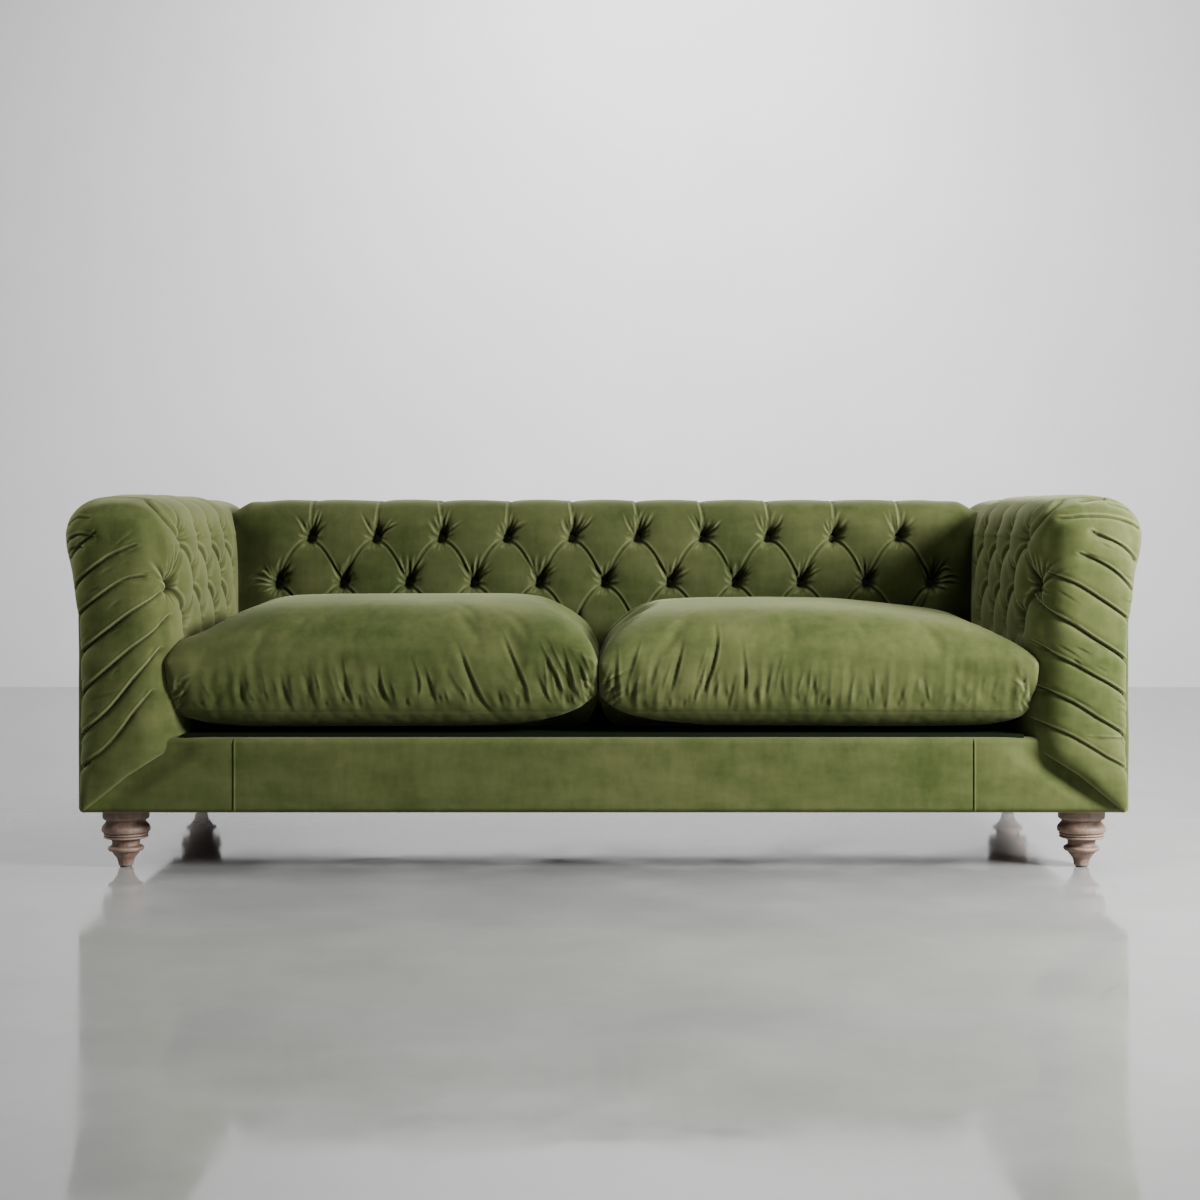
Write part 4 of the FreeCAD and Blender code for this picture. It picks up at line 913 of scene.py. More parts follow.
def makeCushion(side):
    values = cushion[side]
    chance = np.random.default_rng(values["seed"])
    piece = cushionForm(values)
    piece.name = f"seatCushion{side.capitalize()}"
    piece.data.name = piece.name
    applied(piece, "REMESH", mode="VOXEL", voxel_size=cushion["voxel"])
    swell(piece)
    trimOutline(piece, values)
    applied(piece, "SMOOTH", factor=0.5, iterations=4)
    applied(piece, "SUBSURF", levels=1, render_levels=1)

    spots = places(piece)
    normals = vertexNormals(piece)
    frontView = spots[:, [0, 2]]
    height = np.zeros(len(spots))
    for points, depth in cushionFolds[side]:
        pressFold(height, frontView, points, depth * cushion["creaseShare"], **cushion["crease"])
        pressFold(height, frontView, points, depth * cushion["swellShare"], **cushion["creaseSwell"])
    low, high = spots[:, 0].min(), spots[:, 0].max()
    seamHeight = cushion["seam"] + 0.004
    band = smoothStep((spots[:, 2] - 0.305) / 0.05) * smoothStep((0.455 - spots[:, 2]) / 0.10)
    for _ in range(cushion["waves"]):
        length = drawn(chance, 0.018, 0.032)
        phase = 6.3 * chance.random() + 1.5 * np.sin(spots[:, 0] * drawn(chance, 9, 8))
        swayed = spots[:, 0] + values["lean"] * 0.5 * spots[:, 2]
        height += 0.0003 * band * np.sin(swayed * 2 * math.pi / length + phase)
    for _ in range(cushion["ruches"]):
        x = low + 0.03 + (high - low - 0.06) * chance.random()
        inner = 1 - abs(x - values["ends"][1 if side == "left" else 0]) / (high - low)
        reach = (0.030 + 0.105 * chance.random() ** 1.7) * (0.55 + 0.6 * inner)
        lean = values["lean"] + 0.34 * (chance.random() - 0.5)
        root = seamHeight - 0.002 + 0.018 * chance.random()
        points = ((x - lean * reach, root + reach), (x - 0.1 * lean * reach, root + reach * 0.45),
                  (x + 0.25 * lean * reach, root))
        width = drawn(chance, 0.0020, 0.0014)
        depth = drawn(chance, 0.0010, 0.0030) * (0.6 + 0.5 * inner)
        pressFold(height, frontView, points, depth, lapped=width, under=width * 2.2, **cushion["ruche"])
    for x, inward in ((low + 0.010, 1), (high - 0.010, -1)):
        for number in range(cushion["endFolds"]):
            start = (x + inward * 0.02 * chance.random(), seamHeight - 0.008 + 0.012 * number)
            turn = drawn(chance, 0.35, 1.1)
            reach = drawn(chance, 0.035, 0.055)
            end = (start[0] + inward * reach * math.cos(turn), start[1] + reach * math.sin(turn))
            pressFold(height, frontView, (start, end), **cushion["endFold"])
    height *= smoothStep(-normals[:, 1] / 0.5)
    outward = smoothStep((0.9 - np.abs(normals[:, 2])) / 0.3)
    fromSeam = np.abs(spots[:, 2] - cushion["seam"]) / cushion["seamWidth"]
    height -= cushion["seamDepth"] * outward * np.exp(-fromSeam ** 1.6)
    height += ripples(spots[:, :2], chance, *cushion["topRipple"]) * smoothStep(normals[:, 2] / 0.5)
    spots = spots + normals * height[:, None]

    # where it presses on the deck, the arms, the back and its neighbour, it lies flat
    spots[:, 2] = np.maximum(spots[:, 2], sofa["deckHeight"])
    spots[:, 1] = np.minimum(spots[:, 1], sofa["backFace"] - 0.001)
    wide, deep = arm["innerTurn"]
    turned = np.clip((spots[:, 1] - sofa["frontFace"]) / deep, 0, 1)
    armLimit = sofa["armInner"] - 0.001 + wide * (1 - np.sqrt(1 - (1 - turned) ** 2))
    armLimit = np.minimum(armLimit, sofa["armInner"] + 0.050)
    inner = cushion["innerLimits"][side]
    least, most = (-armLimit, inner) if side == "left" else (inner, armLimit)
    spots[:, 0] = np.clip(spots[:, 0], least, most)
    setPlaces(piece, spots)
    pick(piece)
    bpy.ops.object.shade_smooth()
    return piece


print("filling the cushions")
sides = ("left", "right")
cushions = {side: makeCushion(side) for side in sides}


# Buttons: one covered button, copied to each seat and joined piece by piece.
def coveredButton(radius, tall):
    deselectAll()
    bpy.ops.mesh.primitive_circle_add(vertices=24, radius=radius, fill_type="TRIFAN")
    piece = bpy.context.object
    bpy.ops.object.mode_set(mode="EDIT")
    mesh = bmesh.from_edit_mesh(piece.data)
    bmesh.ops.subdivide_edges(mesh, edges=[edge for edge in mesh.edges if not edge.is_boundary], cuts=5)
    bmesh.update_edit_mesh(piece.data)
    bpy.ops.mesh.select_all(action="DESELECT")
    mesh = bmesh.from_edit_mesh(piece.data)
    for edge in mesh.edges:
        edge.select = edge.is_boundary
    bmesh.update_edit_mesh(piece.data)
    bpy.ops.mesh.extrude_region_move(TRANSFORM_OT_translate={"value": (0, 0, -0.4 * tall)})
    bpy.ops.object.mode_set(mode="OBJECT")
    spots = places(piece)
    distance = np.hypot(spots[:, 0], spots[:, 1]) / radius
    top = spots[:, 2] > -0.1 * tall
    spots[:, 2] = np.where(top, tall * np.sqrt(np.clip(1 - 0.92 * distance ** 2, 0, 1)), spots[:, 2])
    setPlaces(piece, spots)
    bpy.ops.object.shade_smooth()
    return piece


def placeButtons(name, seats):
    model = coveredButton(tufts["buttonRadius"], tufts["buttonHeight"])
    shape = places(model)
    copies = []
    for centre, normal in seats:
        normal = normal / np.linalg.norm(normal)
        aside = np.cross((0, 0, 1), normal)
        aside = aside / np.linalg.norm(aside)
        up = np.cross(normal, aside)
        turn = np.stack([aside, up, normal], axis=0)
        copy = model.copy()
        copy.data = model.data.copy()
        bpy.context.collection.objects.link(copy)
        setPlaces(copy, shape @ turn + centre + normal * 0.002)
        copies.append(copy)
    bpy.data.objects.remove(model)
    deselectAll()
    for copy in copies:
        copy.select_set(True)
    bpy.context.view_layer.objects.active = copies[0]
    bpy.ops.object.join()
    piece = bpy.context.object
    piece.name = name
    piece.data.name = name
    return piece


backButtons = placeButtons("backButtons", backSeats)
armButtons = {side: placeButtons(f"armButtons{side.capitalize()}", armSeats[side]) for side in sides}


# Border and outer panels: velvet stretched over board, with soft edges and a slight unevenness.
panels = {
    "borderProud": 0.0045,
    "borderSeam": 0.743,
    "borderStep": 0.0045,
    "edge": 0.012,
    "back": 0.012,
    "proud": 0.004,
    "armPanelStep": 0.010,
    "backPanelStep": 0.012,
    "outerBack": 0.010,
    "underRoll": 0.002,
    "panelProud": 0.003,
    "ripple": (0.0016, 0.16),
    "drawnIn": 0.012,
    "seeds": {"border": 31, "left": 40, "right": 42, "rear": 47},
}


# A panel in its own plane, with its length along u and its height along v, and how far it stands out.
def stretchedPanel(length, low, high, step, seed, seams=(), proud=panels["proud"], back=panels["back"]):
    chance = np.random.default_rng(seed)
    edge = panels["edge"]
    u, v = (stackSteps((start, start + edge, edge / 5), (start + edge, end - edge, step),
                       (end - edge, end, edge / 5)) for start, end in (length, (low, high)))
    u = np.unique(np.concatenate([u] + [np.arange(place - 0.012, place + 0.0125, 0.001) for place in seams]))
    gridU, gridV = np.meshgrid(u, v)
    nearest = np.minimum.reduce([gridU - length[0], length[1] - gridU, gridV - low, high - gridV])
    rounding = np.sqrt(np.clip(1 - (1 - np.clip(nearest / edge, 0, 1)) ** 2, 0, 1))
    out = -back + (back + proud) * rounding
    flat = np.stack([gridU.ravel(), gridV.ravel()], axis=1)
    height = ripples(flat, chance, *panels["ripple"])
    for place in seams:
        height -= 0.0018 * np.exp(-(np.abs(flat[:, 0] - place + 0.0014) / 0.0012) ** 1.5)
        height += 0.0018 * np.exp(-((flat[:, 0] - place - 0.0012) / 0.0018) ** 2)
        height -= 0.0010 * np.exp(-(np.abs(flat[:, 0] - place) / 0.014) ** 2)
    out = out + height.reshape(out.shape) * rounding
    return gridU, gridV, out


def makeBorder():
    low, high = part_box("front_border")
    seam = panels["borderSeam"]
    u, v, out = stretchedPanel((low[0], high[0]), low[2], high[2], panels["borderStep"],
                               panels["seeds"]["border"], seams=(-seam, seam), proud=panels["borderProud"])
    face = low[1] + panels["edge"] * 0.4
    # under the hems of the arms the cloth is drawn in
    first = np.array(arm["inner"][0]) - (0.02, 0)
    run = np.array(arm["outerTapered"][-1]) - first
    beside = ((np.abs(u) - first[0]) * run[1] - (v - first[1]) * run[0]) / np.linalg.norm(run)
    along = ((np.abs(u) - first[0]) * run[0] + (v - first[1]) * run[1]) / (run @ run)
    inward = smoothStep(1 - beside / 0.040) * smoothStep((along + 0.15) / 0.3)
    inward *= smoothStep((1.02 - along) / 0.55)
    out = out - panels["drawnIn"] * inward * (beside > -0.06)
    spots = np.stack([u, face - out, v], axis=2)
    return clothGrid("frontBorder", spots)


def makeOutsidePanel(side):
    sign = -1 if side == "left" else 1
    low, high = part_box(f"outside_arm_panel_{side}")
    face = panels["panelProud"] + max(abs(low[0]), abs(high[0])) - 0.004
    u, v, out = stretchedPanel((low[1] + 0.010, high[1]), low[2], high[2] - panels["underRoll"],
                               panels["armPanelStep"], panels["seeds"][side], back=panels["outerBack"])
    spots = np.stack([sign * (face + out), u, v], axis=2)
    return clothGrid(f"outsideArmPanel{side.capitalize()}", spots, flip=side == "left")


def makeBackPanel():
    low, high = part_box("outside_back_panel")
    u, v, out = stretchedPanel((low[0], high[0]), low[2], high[2] - panels["underRoll"],
                               panels["backPanelStep"], panels["seeds"]["rear"], back=panels["outerBack"])
    spots = np.stack([u, high[1] - 0.001 + out, v], axis=2)
    return clothGrid("outsideBackPanel", spots, flip=True)


print("covering border and panels")
border = makeBorder()
outsidePanels = {side: makeOutsidePanel(side) for side in sides}
backPanel = makeBackPanel()


# Feet: a turned profile of radius and height in metres.
foot = {
    "profile": ((0.0, 0.003), (0.012, 0.003), (0.0150, 0.0045), (0.0158, 0.010), (0.0180, 0.0175),
                (0.0225, 0.0235), (0.0262, 0.0285), (0.0290, 0.0320), (0.0335, 0.0335), (0.0358, 0.0362),
                (0.0364, 0.0385), (0.0356, 0.0410), (0.0325, 0.0428), (0.0292, 0.0445), (0.0281, 0.0475),
                (0.0279, 0.0510), (0.0286, 0.0545), (0.0330, 0.0572), (0.0400, 0.0592), (0.0440, 0.0604),
                (0.0451, 0.0620), (0.0440, 0.0638), (0.0421, 0.0643), (0.0436, 0.0655), (0.0452, 0.0672),
                (0.0448, 0.0692), (0.0438, 0.0700), (0.0452, 0.0712), (0.0480, 0.0732), (0.0491, 0.0765),
                (0.0489, 0.0805), (0.0470, 0.0845), (0.0435, 0.0885), (0.0408, 0.0918), (0.0400, 0.0945),
                (0.0402, 0.0962), (0.0440, 0.0980), (0.0462, 0.0998), (0.0471, 0.1030), (0.0471, 0.1185),
                (0.0465, 0.1190)),
    "segments": 96,
}


def makeFoot(name, node):
    low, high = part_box(node)
    centre = ((low[0] + high[0]) / 2, (low[1] + high[1]) / 2)
    outline = smoothPath(foot["profile"], 3)
    outline[:, 0] = np.maximum(outline[:, 0], 0.0)
    turns = np.linspace(0, 2 * math.pi, foot["segments"] + 1)
    spots = np.stack([centre[0] + outline[:, :1] * np.cos(turns)[None, :],
                      centre[1] + outline[:, :1] * np.sin(turns)[None, :],
                      np.repeat(outline[:, 1:], len(turns), axis=1)], axis=2)
    piece = clothGrid(name, spots)
    mergeDoubles(piece, 0.00005)
    editAll(piece)
    bpy.ops.mesh.normals_make_consistent(inside=False)
    bpy.ops.object.mode_set(mode="OBJECT")
    bpy.ops.object.shade_smooth()
    return piece


print("turning the feet")
feet = {f"foot_{end}_{side}": makeFoot(f"foot{end.capitalize()}{side.capitalize()}", f"foot_{end}_{side}")
        for end in ("front", "rear") for side in sides}


# Springs: a merged copy of the CAD node's mesh with fewer faces, because they lie out of sight.
springs = {
    "node": "seat_springs",
    "kept": 0.22,
}


# A node's own mesh, or those of the objects under it.
def nodeMeshes(name):
    node = frame["nodes"][name]
    if node.type == "MESH":
        return [node]
    return [child for child in node.children_recursive if child.type == "MESH"]


def makeSprings():
    source = nodeMeshes(springs["node"])[0]
    piece = bpy.data.objects.new("seatSprings", source.data.copy())
    piece.data.name = "seatSprings"
    bpy.context.collection.objects.link(piece)
    piece.data.transform(source.matrix_world)
    mergeDoubles(piece, 0.00002)
    applied(piece, "DECIMATE", ratio=springs["kept"])
    bpy.ops.object.shade_smooth()
    return piece


seatSprings = makeSprings()


# Materials. Every pattern follows the object's own coordinates, in metres.
def newMaterial(name):
    material = bpy.data.materials.new(name)
    material.use_nodes = True
    tree = material.node_tree
    tree.nodes.clear()
    output = tree.nodes.new("ShaderNodeOutputMaterial")
    shader = tree.nodes.new("ShaderNodeBsdfPrincipled")
    tree.links.new(shader.outputs["BSDF"], output.inputs["Surface"])
    coordinates = tree.nodes.new("ShaderNodeTexCoord")
    return material, tree, shader, coordinates.outputs["Object"]


# Sets the nodes of a tree out in columns, the first ones at the right.
def spreadNodes(tree):
    for number, node in enumerate(tree.nodes):
        node.location = (-240 * (number // 4), -320 * (number % 4))


def noise(tree, vector, scale, detail=3.0, roughness=0.55, stretch=None):
    if stretch is not None:
        mapping = tree.nodes.new("ShaderNodeMapping")
        mapping.inputs["Scale"].default_value = stretch
        tree.links.new(vector, mapping.inputs["Vector"])
        vector = mapping.outputs["Vector"]
    node = tree.nodes.new("ShaderNodeTexNoise")
    node.inputs["Scale"].default_value = scale
    node.inputs["Detail"].default_value = detail
    node.inputs["Roughness"].default_value = roughness
    tree.links.new(vector, node.inputs["Vector"])
    return node.outputs["Fac"]


def ranged(tree, value, low, high, outLow, outHigh):
    node = tree.nodes.new("ShaderNodeMapRange")
    node.clamp = True
    for socket, number in (("From Min", low), ("From Max", high), ("To Min", outLow), ("To Max", outHigh)):
        node.inputs[socket].default_value = number
    tree.links.new(value, node.inputs["Value"])
    return node.outputs["Result"]


def calculate(tree, operation, first, second):
    node = tree.nodes.new("ShaderNodeMath")
    node.operation = operation
    for socket, value in zip(node.inputs, (first, second)):
        if isinstance(value, (int, float)):
            socket.default_value = value
        else:
            tree.links.new(value, socket)
    return node.outputs["Value"]


def blended(tree, factor, first, second):
    node = tree.nodes.new("ShaderNodeMix")
    node.data_type = "RGBA"
    colourSockets = [socket for socket in node.inputs if socket.type == "RGBA"]
    factorSocket = next(socket for socket in node.inputs if socket.type == "VALUE")
    for socket, value in ((factorSocket, factor), (colourSockets[0], first), (colourSockets[1], second)):
        if isinstance(value, (int, float, tuple)):
            socket.default_value = value
        else:
            tree.links.new(value, socket)
    return next(socket for socket in node.outputs if socket.type == "RGBA")


def bumped(tree, shader, height, strength, distance):
    node = tree.nodes.new("ShaderNodeBump")
    node.inputs["Strength"].default_value = strength
    node.inputs["Distance"].default_value = distance
    tree.links.new(height, node.inputs["Height"])
    tree.links.new(node.outputs["Normal"], shader.inputs["Normal"])


# Velvet: crest and hollow are ranges of pointiness, with what the hollow's shade goes from and to. Crests are
# lightened towards light as a painted highlight, hollows darkened towards shadow as painted shade; light is
# also the painted sheen at grazing view, and shadow the painted shade under the cushions.
velvet = {
    "deep": (0.034, 0.049, 0.0105, 1),
    "mid": (0.083, 0.093, 0.0310, 1),
    "light": (0.235, 0.238, 0.118, 1),
    "shadow": (0.010, 0.017, 0.0035, 1),
    "crestHighlight": (0.506, 0.560, 0.0),
    "hollowShade": (0.430, 0.492, 0.70, 0.0),
    "undersideShade": 0.80,
    "sheenTint": (0.80, 0.86, 0.52, 1),
    "sheen": 0.16,
    "sheenRoughness": 0.42,
    "roughness": 0.88,
    "specular": 0.12,
    "broadScale": 5.0,
    "streakScale": 9.0,
    "brushedScale": 55.0,
    "pileScale": 1400.0,
    "bump": (0.35, 0.0006),
}


# Shared by the velvets: how the pile lies, as a slow tone and a fine height.
def pileGroup():
    tree = bpy.data.node_groups.new("velvetPile", "ShaderNodeTree")
    tree.interface.new_socket("Vector", in_out="INPUT", socket_type="NodeSocketVector")
    tree.interface.new_socket("Lay", in_out="OUTPUT", socket_type="NodeSocketFloat")
    tree.interface.new_socket("Height", in_out="OUTPUT", socket_type="NodeSocketFloat")
    end = tree.nodes.new("NodeGroupOutput")
    vector = tree.nodes.new("NodeGroupInput").outputs["Vector"]
    broad = noise(tree, vector, velvet["broadScale"], 2.0, 0.5)
    streaks = noise(tree, vector, velvet["streakScale"], 3.0, 0.6, stretch=(1.0, 1.0, 2.6))
    brushed = noise(tree, vector, velvet["brushedScale"], 4.0, 0.65, stretch=(1.0, 1.0, 0.45))
    pile = noise(tree, vector, velvet["pileScale"], 2.0, 0.6)
    lay = calculate(tree, "ADD", ranged(tree, broad, 0.3, 0.7, 0, 0.40),
                    ranged(tree, streaks, 0.3, 0.7, 0, 0.36))
    lay = calculate(tree, "ADD", lay, ranged(tree, brushed, 0.3, 0.7, 0, 0.24))
    tree.links.new(lay, end.inputs["Lay"])
    fine = calculate(tree, "ADD", calculate(tree, "MULTIPLY", pile, 0.35),
                     calculate(tree, "MULTIPLY", brushed, 0.65))
    tree.links.new(fine, end.inputs["Height"])
    spreadNodes(tree)
    return tree


pileTree = pileGroup()


def velvetMaterial(name, tone, paintedSheenTop, crestHighlightTop, underside=None):
    material, tree, shader, vector = newMaterial(name)
    pile = tree.nodes.new("ShaderNodeGroup")
    pile.node_tree = pileTree
    tree.links.new(vector, pile.inputs["Vector"])
    deep, mid = (tuple(channel * tone for channel in velvet[key][:3]) + (1,) for key in ("deep", "mid"))
    colour = blended(tree, ranged(tree, pile.outputs["Lay"], 0.15, 0.85, 0, 1), deep, mid)
    # painted sheen: the colour lightens towards light as the cloth turns to grazing view
    grazing = tree.nodes.new("ShaderNodeLayerWeight")
    grazing.inputs["Blend"].default_value = 0.35
    paintedSheen = ranged(tree, grazing.outputs["Facing"], 0.25, 0.95, 0.0, paintedSheenTop)
    colour = blended(tree, paintedSheen, colour, velvet["light"])
    # painted highlight on crests and painted shade in hollows, found by pointiness
    pointiness = tree.nodes.new("ShaderNodeNewGeometry").outputs["Pointiness"]
    crestHighlight = ranged(tree, pointiness, *velvet["crestHighlight"], crestHighlightTop)
    hollowShade = ranged(tree, pointiness, *velvet["hollowShade"])
    colour = blended(tree, crestHighlight, colour, velvet["light"])
    colour = blended(tree, hollowShade, colour, velvet["shadow"])
    # painted shade: the colour darkens towards the bottom of the cushion, below the given heights
    if underside:
        split = tree.nodes.new("ShaderNodeSeparateXYZ")
        tree.links.new(vector, split.inputs["Vector"])
        shade = ranged(tree, split.outputs["Z"], *underside, velvet["undersideShade"], 1.0)
        colour = blended(tree, shade, velvet["shadow"], colour)
    tree.links.new(colour, shader.inputs["Base Color"])
    shader.inputs["Roughness"].default_value = velvet["roughness"]
    shader.inputs["Specular IOR Level"].default_value = velvet["specular"]
    shader.inputs["Sheen Weight"].default_value = velvet["sheen"] * tone
    shader.inputs["Sheen Roughness"].default_value = velvet["sheenRoughness"]
    shader.inputs["Sheen Tint"].default_value = velvet["sheenTint"]
    bumped(tree, shader, pile.outputs["Height"], *velvet["bump"])
    return material


def woodMaterial(name, dark, light, grain, stretch, roughness):
    material, tree, shader, vector = newMaterial(name)
    bands = noise(tree, vector, grain, 4.0, 0.6, stretch=stretch)
    fine = noise(tree, vector, grain * 9, 3.0, 0.7, stretch=stretch)
    wear = noise(tree, vector, 45.0, 3.0, 0.6)
    mixed = calculate(tree, "ADD", ranged(tree, bands, 0.3, 0.7, 0, 0.6),
                      ranged(tree, fine, 0.35, 0.65, 0, 0.4))
    tree.links.new(blended(tree, mixed, dark, light), shader.inputs["Base Color"])
    worn = ranged(tree, wear, 0.3, 0.7, roughness - 0.10, roughness + 0.12)
    tree.links.new(worn, shader.inputs["Roughness"])
    bumped(tree, shader, fine, 0.25, 0.0008)
    return material


# The wood of the feet: chalky and worn pale on its edges, with painted shade darkening its grooves.
chalkedWood = {
    "dark": (0.095, 0.055, 0.038, 1),
    "light": (0.225, 0.145, 0.108, 1),
    "chalk": (0.33, 0.25, 0.205, 1),
    "edge": (0.40, 0.30, 0.24, 1),
    "paintedGrooveShade": (0.045, 0.025, 0.018, 1),
    "specular": 0.4,
    "bump": (0.3, 0.0006),
}


def footWoodMaterial(name):
    material, tree, shader, vector = newMaterial(name)
    grain = noise(tree, vector, 60.0, 4.0, 0.62, stretch=(1.0, 1.0, 0.16))
    fine = noise(tree, vector, 420.0, 3.0, 0.65, stretch=(1.0, 1.0, 0.10))
    chalk = noise(tree, vector, 85.0, 4.0, 0.7)
    pointiness = tree.nodes.new("ShaderNodeNewGeometry").outputs["Pointiness"]
    edges = ranged(tree, pointiness, 0.50, 0.56, 0.0, 0.55)
    # painted shade in the grooves of the turning, found by pointiness
    grooveShade = ranged(tree, pointiness, 0.44, 0.50, 0.75, 0.0)
    tone = calculate(tree, "ADD", ranged(tree, grain, 0.32, 0.68, 0, 0.65),
                     ranged(tree, fine, 0.35, 0.65, 0, 0.35))
    colour = blended(tree, tone, chalkedWood["dark"], chalkedWood["light"])
    colour = blended(tree, ranged(tree, chalk, 0.50, 0.70, 0, 0.40), colour, chalkedWood["chalk"])
    colour = blended(tree, edges, colour, chalkedWood["edge"])
    colour = blended(tree, grooveShade, colour, chalkedWood["paintedGrooveShade"])
    tree.links.new(colour, shader.inputs["Base Color"])
    tree.links.new(ranged(tree, chalk, 0.3, 0.7, 0.38, 0.62), shader.inputs["Roughness"])
    shader.inputs["Specular IOR Level"].default_value = chalkedWood["specular"]
    bumped(tree, shader, fine, *chalkedWood["bump"])
    return material


def wovenMaterial(name, dark, light, thread):
    material, tree, shader, vector = newMaterial(name)
    waves = []
    for direction in ("X", "Y", "Z"):
        node = tree.nodes.new("ShaderNodeTexWave")
        node.bands_direction = direction
        node.inputs["Scale"].default_value = 1 / (thread * 3.2)
        node.inputs["Distortion"].default_value = 0.4
        tree.links.new(vector, node.inputs["Vector"])
        waves.append(node.outputs["Fac"])
    weave = waves[0]
    for wave in waves[1:]:
        weave = calculate(tree, "MULTIPLY", calculate(tree, "ADD", weave, wave), 0.5)
    mottle = noise(tree, vector, 30.0, 4.0, 0.6)
    tone = calculate(tree, "MULTIPLY", calculate(tree, "ADD", weave, mottle), 0.55)
    tree.links.new(blended(tree, tone, dark, light), shader.inputs["Base Color"])
    shader.inputs["Roughness"].default_value = 0.9
    shader.inputs["Specular IOR Level"].default_value = 0.04
    bumped(tree, shader, weave, 0.4, 0.0004)
    return material


def steelMaterial(name, clean, stained):
    material, tree, shader, vector = newMaterial(name)
    scratches = noise(tree, vector, 220.0, 3.0, 0.6, stretch=(1.0, 0.2, 1.0))
    stains = noise(tree, vector, 25.0, 4.0, 0.6)
    colour = blended(tree, ranged(tree, stains, 0.35, 0.7, 0, 1), clean, stained)
    tree.links.new(colour, shader.inputs["Base Color"])
    shader.inputs["Metallic"].default_value = 1.0
    tree.links.new(ranged(tree, scratches, 0.3, 0.7, 0.28, 0.5), shader.inputs["Roughness"])
    bumped(tree, shader, scratches, 0.15, 0.0003)
    return material


def plasticMaterial(name, dark, light):
    material, tree, shader, vector = newMaterial(name)
    grain = noise(tree, vector, 900.0, 2.0, 0.6)
    scuffs = noise(tree, vector, 120.0, 4.0, 0.7)
    tree.links.new(blended(tree, scuffs, dark, light), shader.inputs["Base Color"])
    tree.links.new(ranged(tree, scuffs, 0.3, 0.7, 0.42, 0.62), shader.inputs["Roughness"])
    bumped(tree, shader, grain, 0.2, 0.0002)
    return material


print("making materials")
finishes = {
    # The four velvets are one cloth in copies that differ in painted light: a tone darkened as painted shade
    # on the back and a little on the cushions, lightened a little on the panels, and each its own painted
    # sheen and highlight.
    "velvet": velvetMaterial("velvetGreen", tone=1.0, paintedSheenTop=0.34, crestHighlightTop=0.5),
    "velvetFlat": velvetMaterial("velvetGreenFlat", tone=1.02, paintedSheenTop=0.24, crestHighlightTop=0.0),
    # the back and its buttons: the same velvet darkened as painted shade
    "velvetShaded": velvetMaterial("velvetGreenBrushedDown", tone=0.68, paintedSheenTop=0.20, crestHighlightTop=0.5),
    "velvetCushion": velvetMaterial("velvetGreenCushion", tone=0.95, paintedSheenTop=0.10, crestHighlightTop=0.5,
                                    underside=(0.284, 0.335)),
    "frame_wood": woodMaterial("sawnBeech", dark=(0.36, 0.22, 0.11, 1), light=(0.62, 0.44, 0.26, 1),
                               grain=14.0, stretch=(0.35, 0.35, 1.0), roughness=0.62),
    "foot_wood": footWoodMaterial("bleachedOak"),
    # the lining is dark green cloth made near black, as painted shade where the deck shows under the cushions
    "lining": wovenMaterial("wovenLining", dark=(0.002, 0.004, 0.0015, 1), light=(0.008, 0.013, 0.005, 1),
                            thread=0.0012),
    "filling": wovenMaterial("featherFilling", dark=(0.62, 0.58, 0.48, 1), light=(0.86, 0.83, 0.74, 1),
                             thread=0.0018),
    "steel": steelMaterial("springSteel", clean=(0.50, 0.50, 0.51, 1), stained=(0.34, 0.33, 0.32, 1)),
    "glide_plastic": plasticMaterial("gliderPlastic", dark=(0.035, 0.035, 0.035, 1),
                                     light=(0.075, 0.073, 0.07, 1)),
}


def dress(piece, material):
    piece.data.materials.clear()
    piece.data.materials.append(material)


for entry in frame["record"]["subparts"]:
    for item in nodeMeshes(entry["node"]):
        for slot in item.material_slots:
            slot.material = finishes[entry["material_slot"]]

# each piece with the body it rides on, the nodes it stands for and its finish
dressing = [
    (backPiece, "sofa", ["back_pad"], "velvetShaded"),
    (backButtons, "sofa", ["back_buttons"], "velvetShaded"),
    (border, "sofa", ["front_border"], "velvetFlat"),
    (backPanel, "sofa", ["outside_back_panel"], "velvetFlat"),
]
dressing += [(armPieces[side], "sofa", [f"arm_pad_{side}"], "velvet") for side in sides]
dressing += [(armButtons[side], "sofa", [f"arm_buttons_{side}"], "velvet") for side in sides]
dressing += [(outsidePanels[side], "sofa", [f"outside_arm_panel_{side}"], "velvetFlat") for side in sides]
dressing += [(cushions[side], f"cushion_{side}", [f"seat_cushion_{side}", f"cushion_core_{side}"],
              "velvetCushion") for side in sides]
dressing += [(piece, "sofa", [node], "foot_wood") for node, piece in feet.items()]
dressing += [(seatSprings, "sofa", [springs["node"]], "steel")]
for piece, body, nodes, slot in dressing:
    dress(piece, finishes[slot])
    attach(piece, body)
    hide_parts(*nodes)


# Studio: a pale floor, a pale wall behind, one large soft light from the front right. A plane has a colour,
# a roughness, the scale of its patches and how dark they get; a lamp a place, a target, a size and a power.
studio = {
    "planeSize": 24,
    "floor": ((0.305, 0.305, 0.295, 1), 0.09, 3.2, 0.86),
    "wall": ((0.80, 0.80, 0.81, 1), 0.85, 1.4, 0.95),
    "wallPlace": 4.03,
    "ambient": 0.30,
    "ambientColour": (0.95, 0.97, 1.0, 1),
    "key": ((2.75, -1.75, 1.55), (0.1, 0.0, 0.45), 1.0, 350),
    "fill": ((-2.6, -0.4, 1.9), (0.8, 0.0, 0.5), 1.2, 52),
    "top": ((1.7, 0.0, 2.7), (0.8, 0.0, 0.5), 1.0, 48),
    "back": ((0.3, 2.1, 3.2), (0.2, 4.03, 1.0), 2.4, 142),
    "camera": (0.012, -4.606, 0.716),
    "lens": 61.9,
    "shift": (-0.008, -0.07),
}


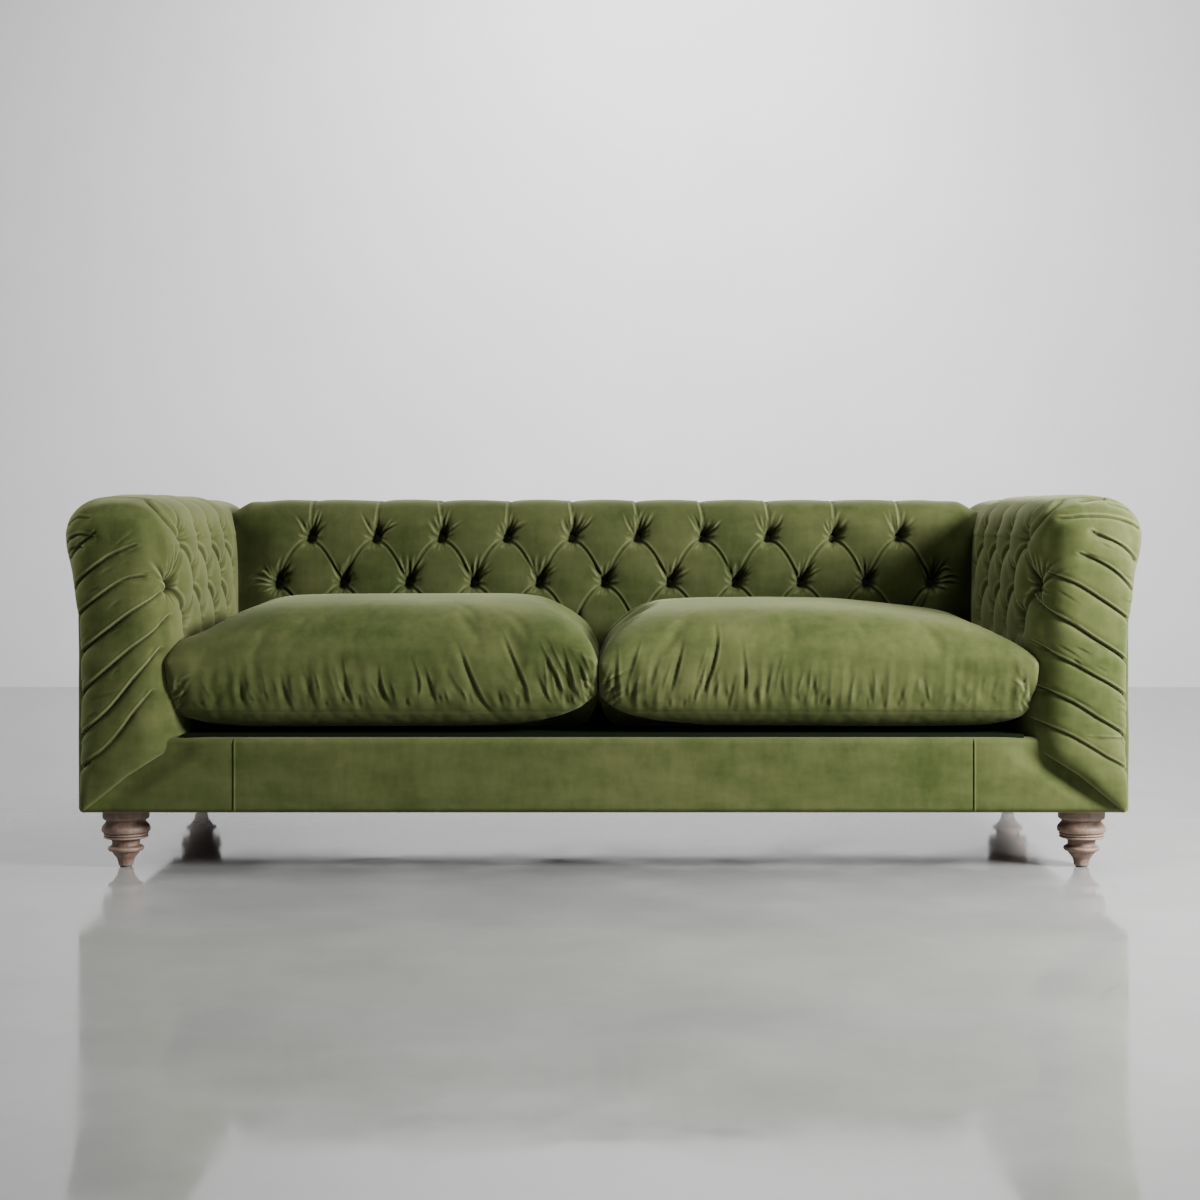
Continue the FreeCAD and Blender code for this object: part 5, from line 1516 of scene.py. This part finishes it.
def studioPlane(name, location, rotation):
    colour, roughness, patches, shade = studio[name]
    deselectAll()
    bpy.ops.mesh.primitive_plane_add(size=studio["planeSize"], location=location, rotation=rotation)
    plane = bpy.context.object
    plane.name = name
    material, tree, shader, vector = newMaterial(f"{name}Finish")
    mottle = noise(tree, vector, patches, 8.0, 0.6)
    darker = tuple(channel * shade for channel in colour[:3]) + (1,)
    patchy = blended(tree, ranged(tree, mottle, 0.35, 0.65, 0, 1), darker, colour)
    tree.links.new(patchy, shader.inputs["Base Color"])
    worn = ranged(tree, mottle, 0.35, 0.65, roughness - 0.05, roughness + 0.06)
    tree.links.new(worn, shader.inputs["Roughness"])
    dress(plane, material)


def areaLight(name):
    location, target, size, power = studio[name]
    light = bpy.data.lights.new(name, "AREA")
    light.shape = "DISK"
    light.size = size
    light.energy = power
    lamp = bpy.data.objects.new(name, light)
    bpy.context.collection.objects.link(lamp)
    lamp.location = location
    lamp.visible_glossy = name == "key"  # the others would show as discs on the floor
    aim = [target[axis] - location[axis] for axis in range(3)]
    lamp.rotation_euler = (math.atan2(math.hypot(aim[0], aim[1]), -aim[2]), 0, math.atan2(-aim[0], aim[1]))


print("setting the studio")
studioPlane("floor", (0, 0, 0), (0, 0, 0))
studioPlane("wall", (0, studio["wallPlace"], 0), (math.pi / 2, 0, 0))
for material in bpy.data.materials:
    if material.use_nodes:
        spreadNodes(material.node_tree)
for name in ("key", "fill", "top", "back"):
    areaLight(name)
world = bpy.data.worlds.new("studioAir")
world.use_nodes = True
background = world.node_tree.nodes["Background"]
background.inputs["Color"].default_value = studio["ambientColour"]
background.inputs["Strength"].default_value = studio["ambient"]
bpy.context.scene.world = world

lensData = bpy.data.cameras.new("camera")
lensData.lens = studio["lens"]
lensData.sensor_width = 36
lensData.shift_x, lensData.shift_y = studio["shift"]
camera = bpy.data.objects.new("camera", lensData)
bpy.context.collection.objects.link(camera)
camera.location = studio["camera"]
camera.rotation_euler = (math.pi / 2, 0, 0)
bpy.context.scene.camera = camera
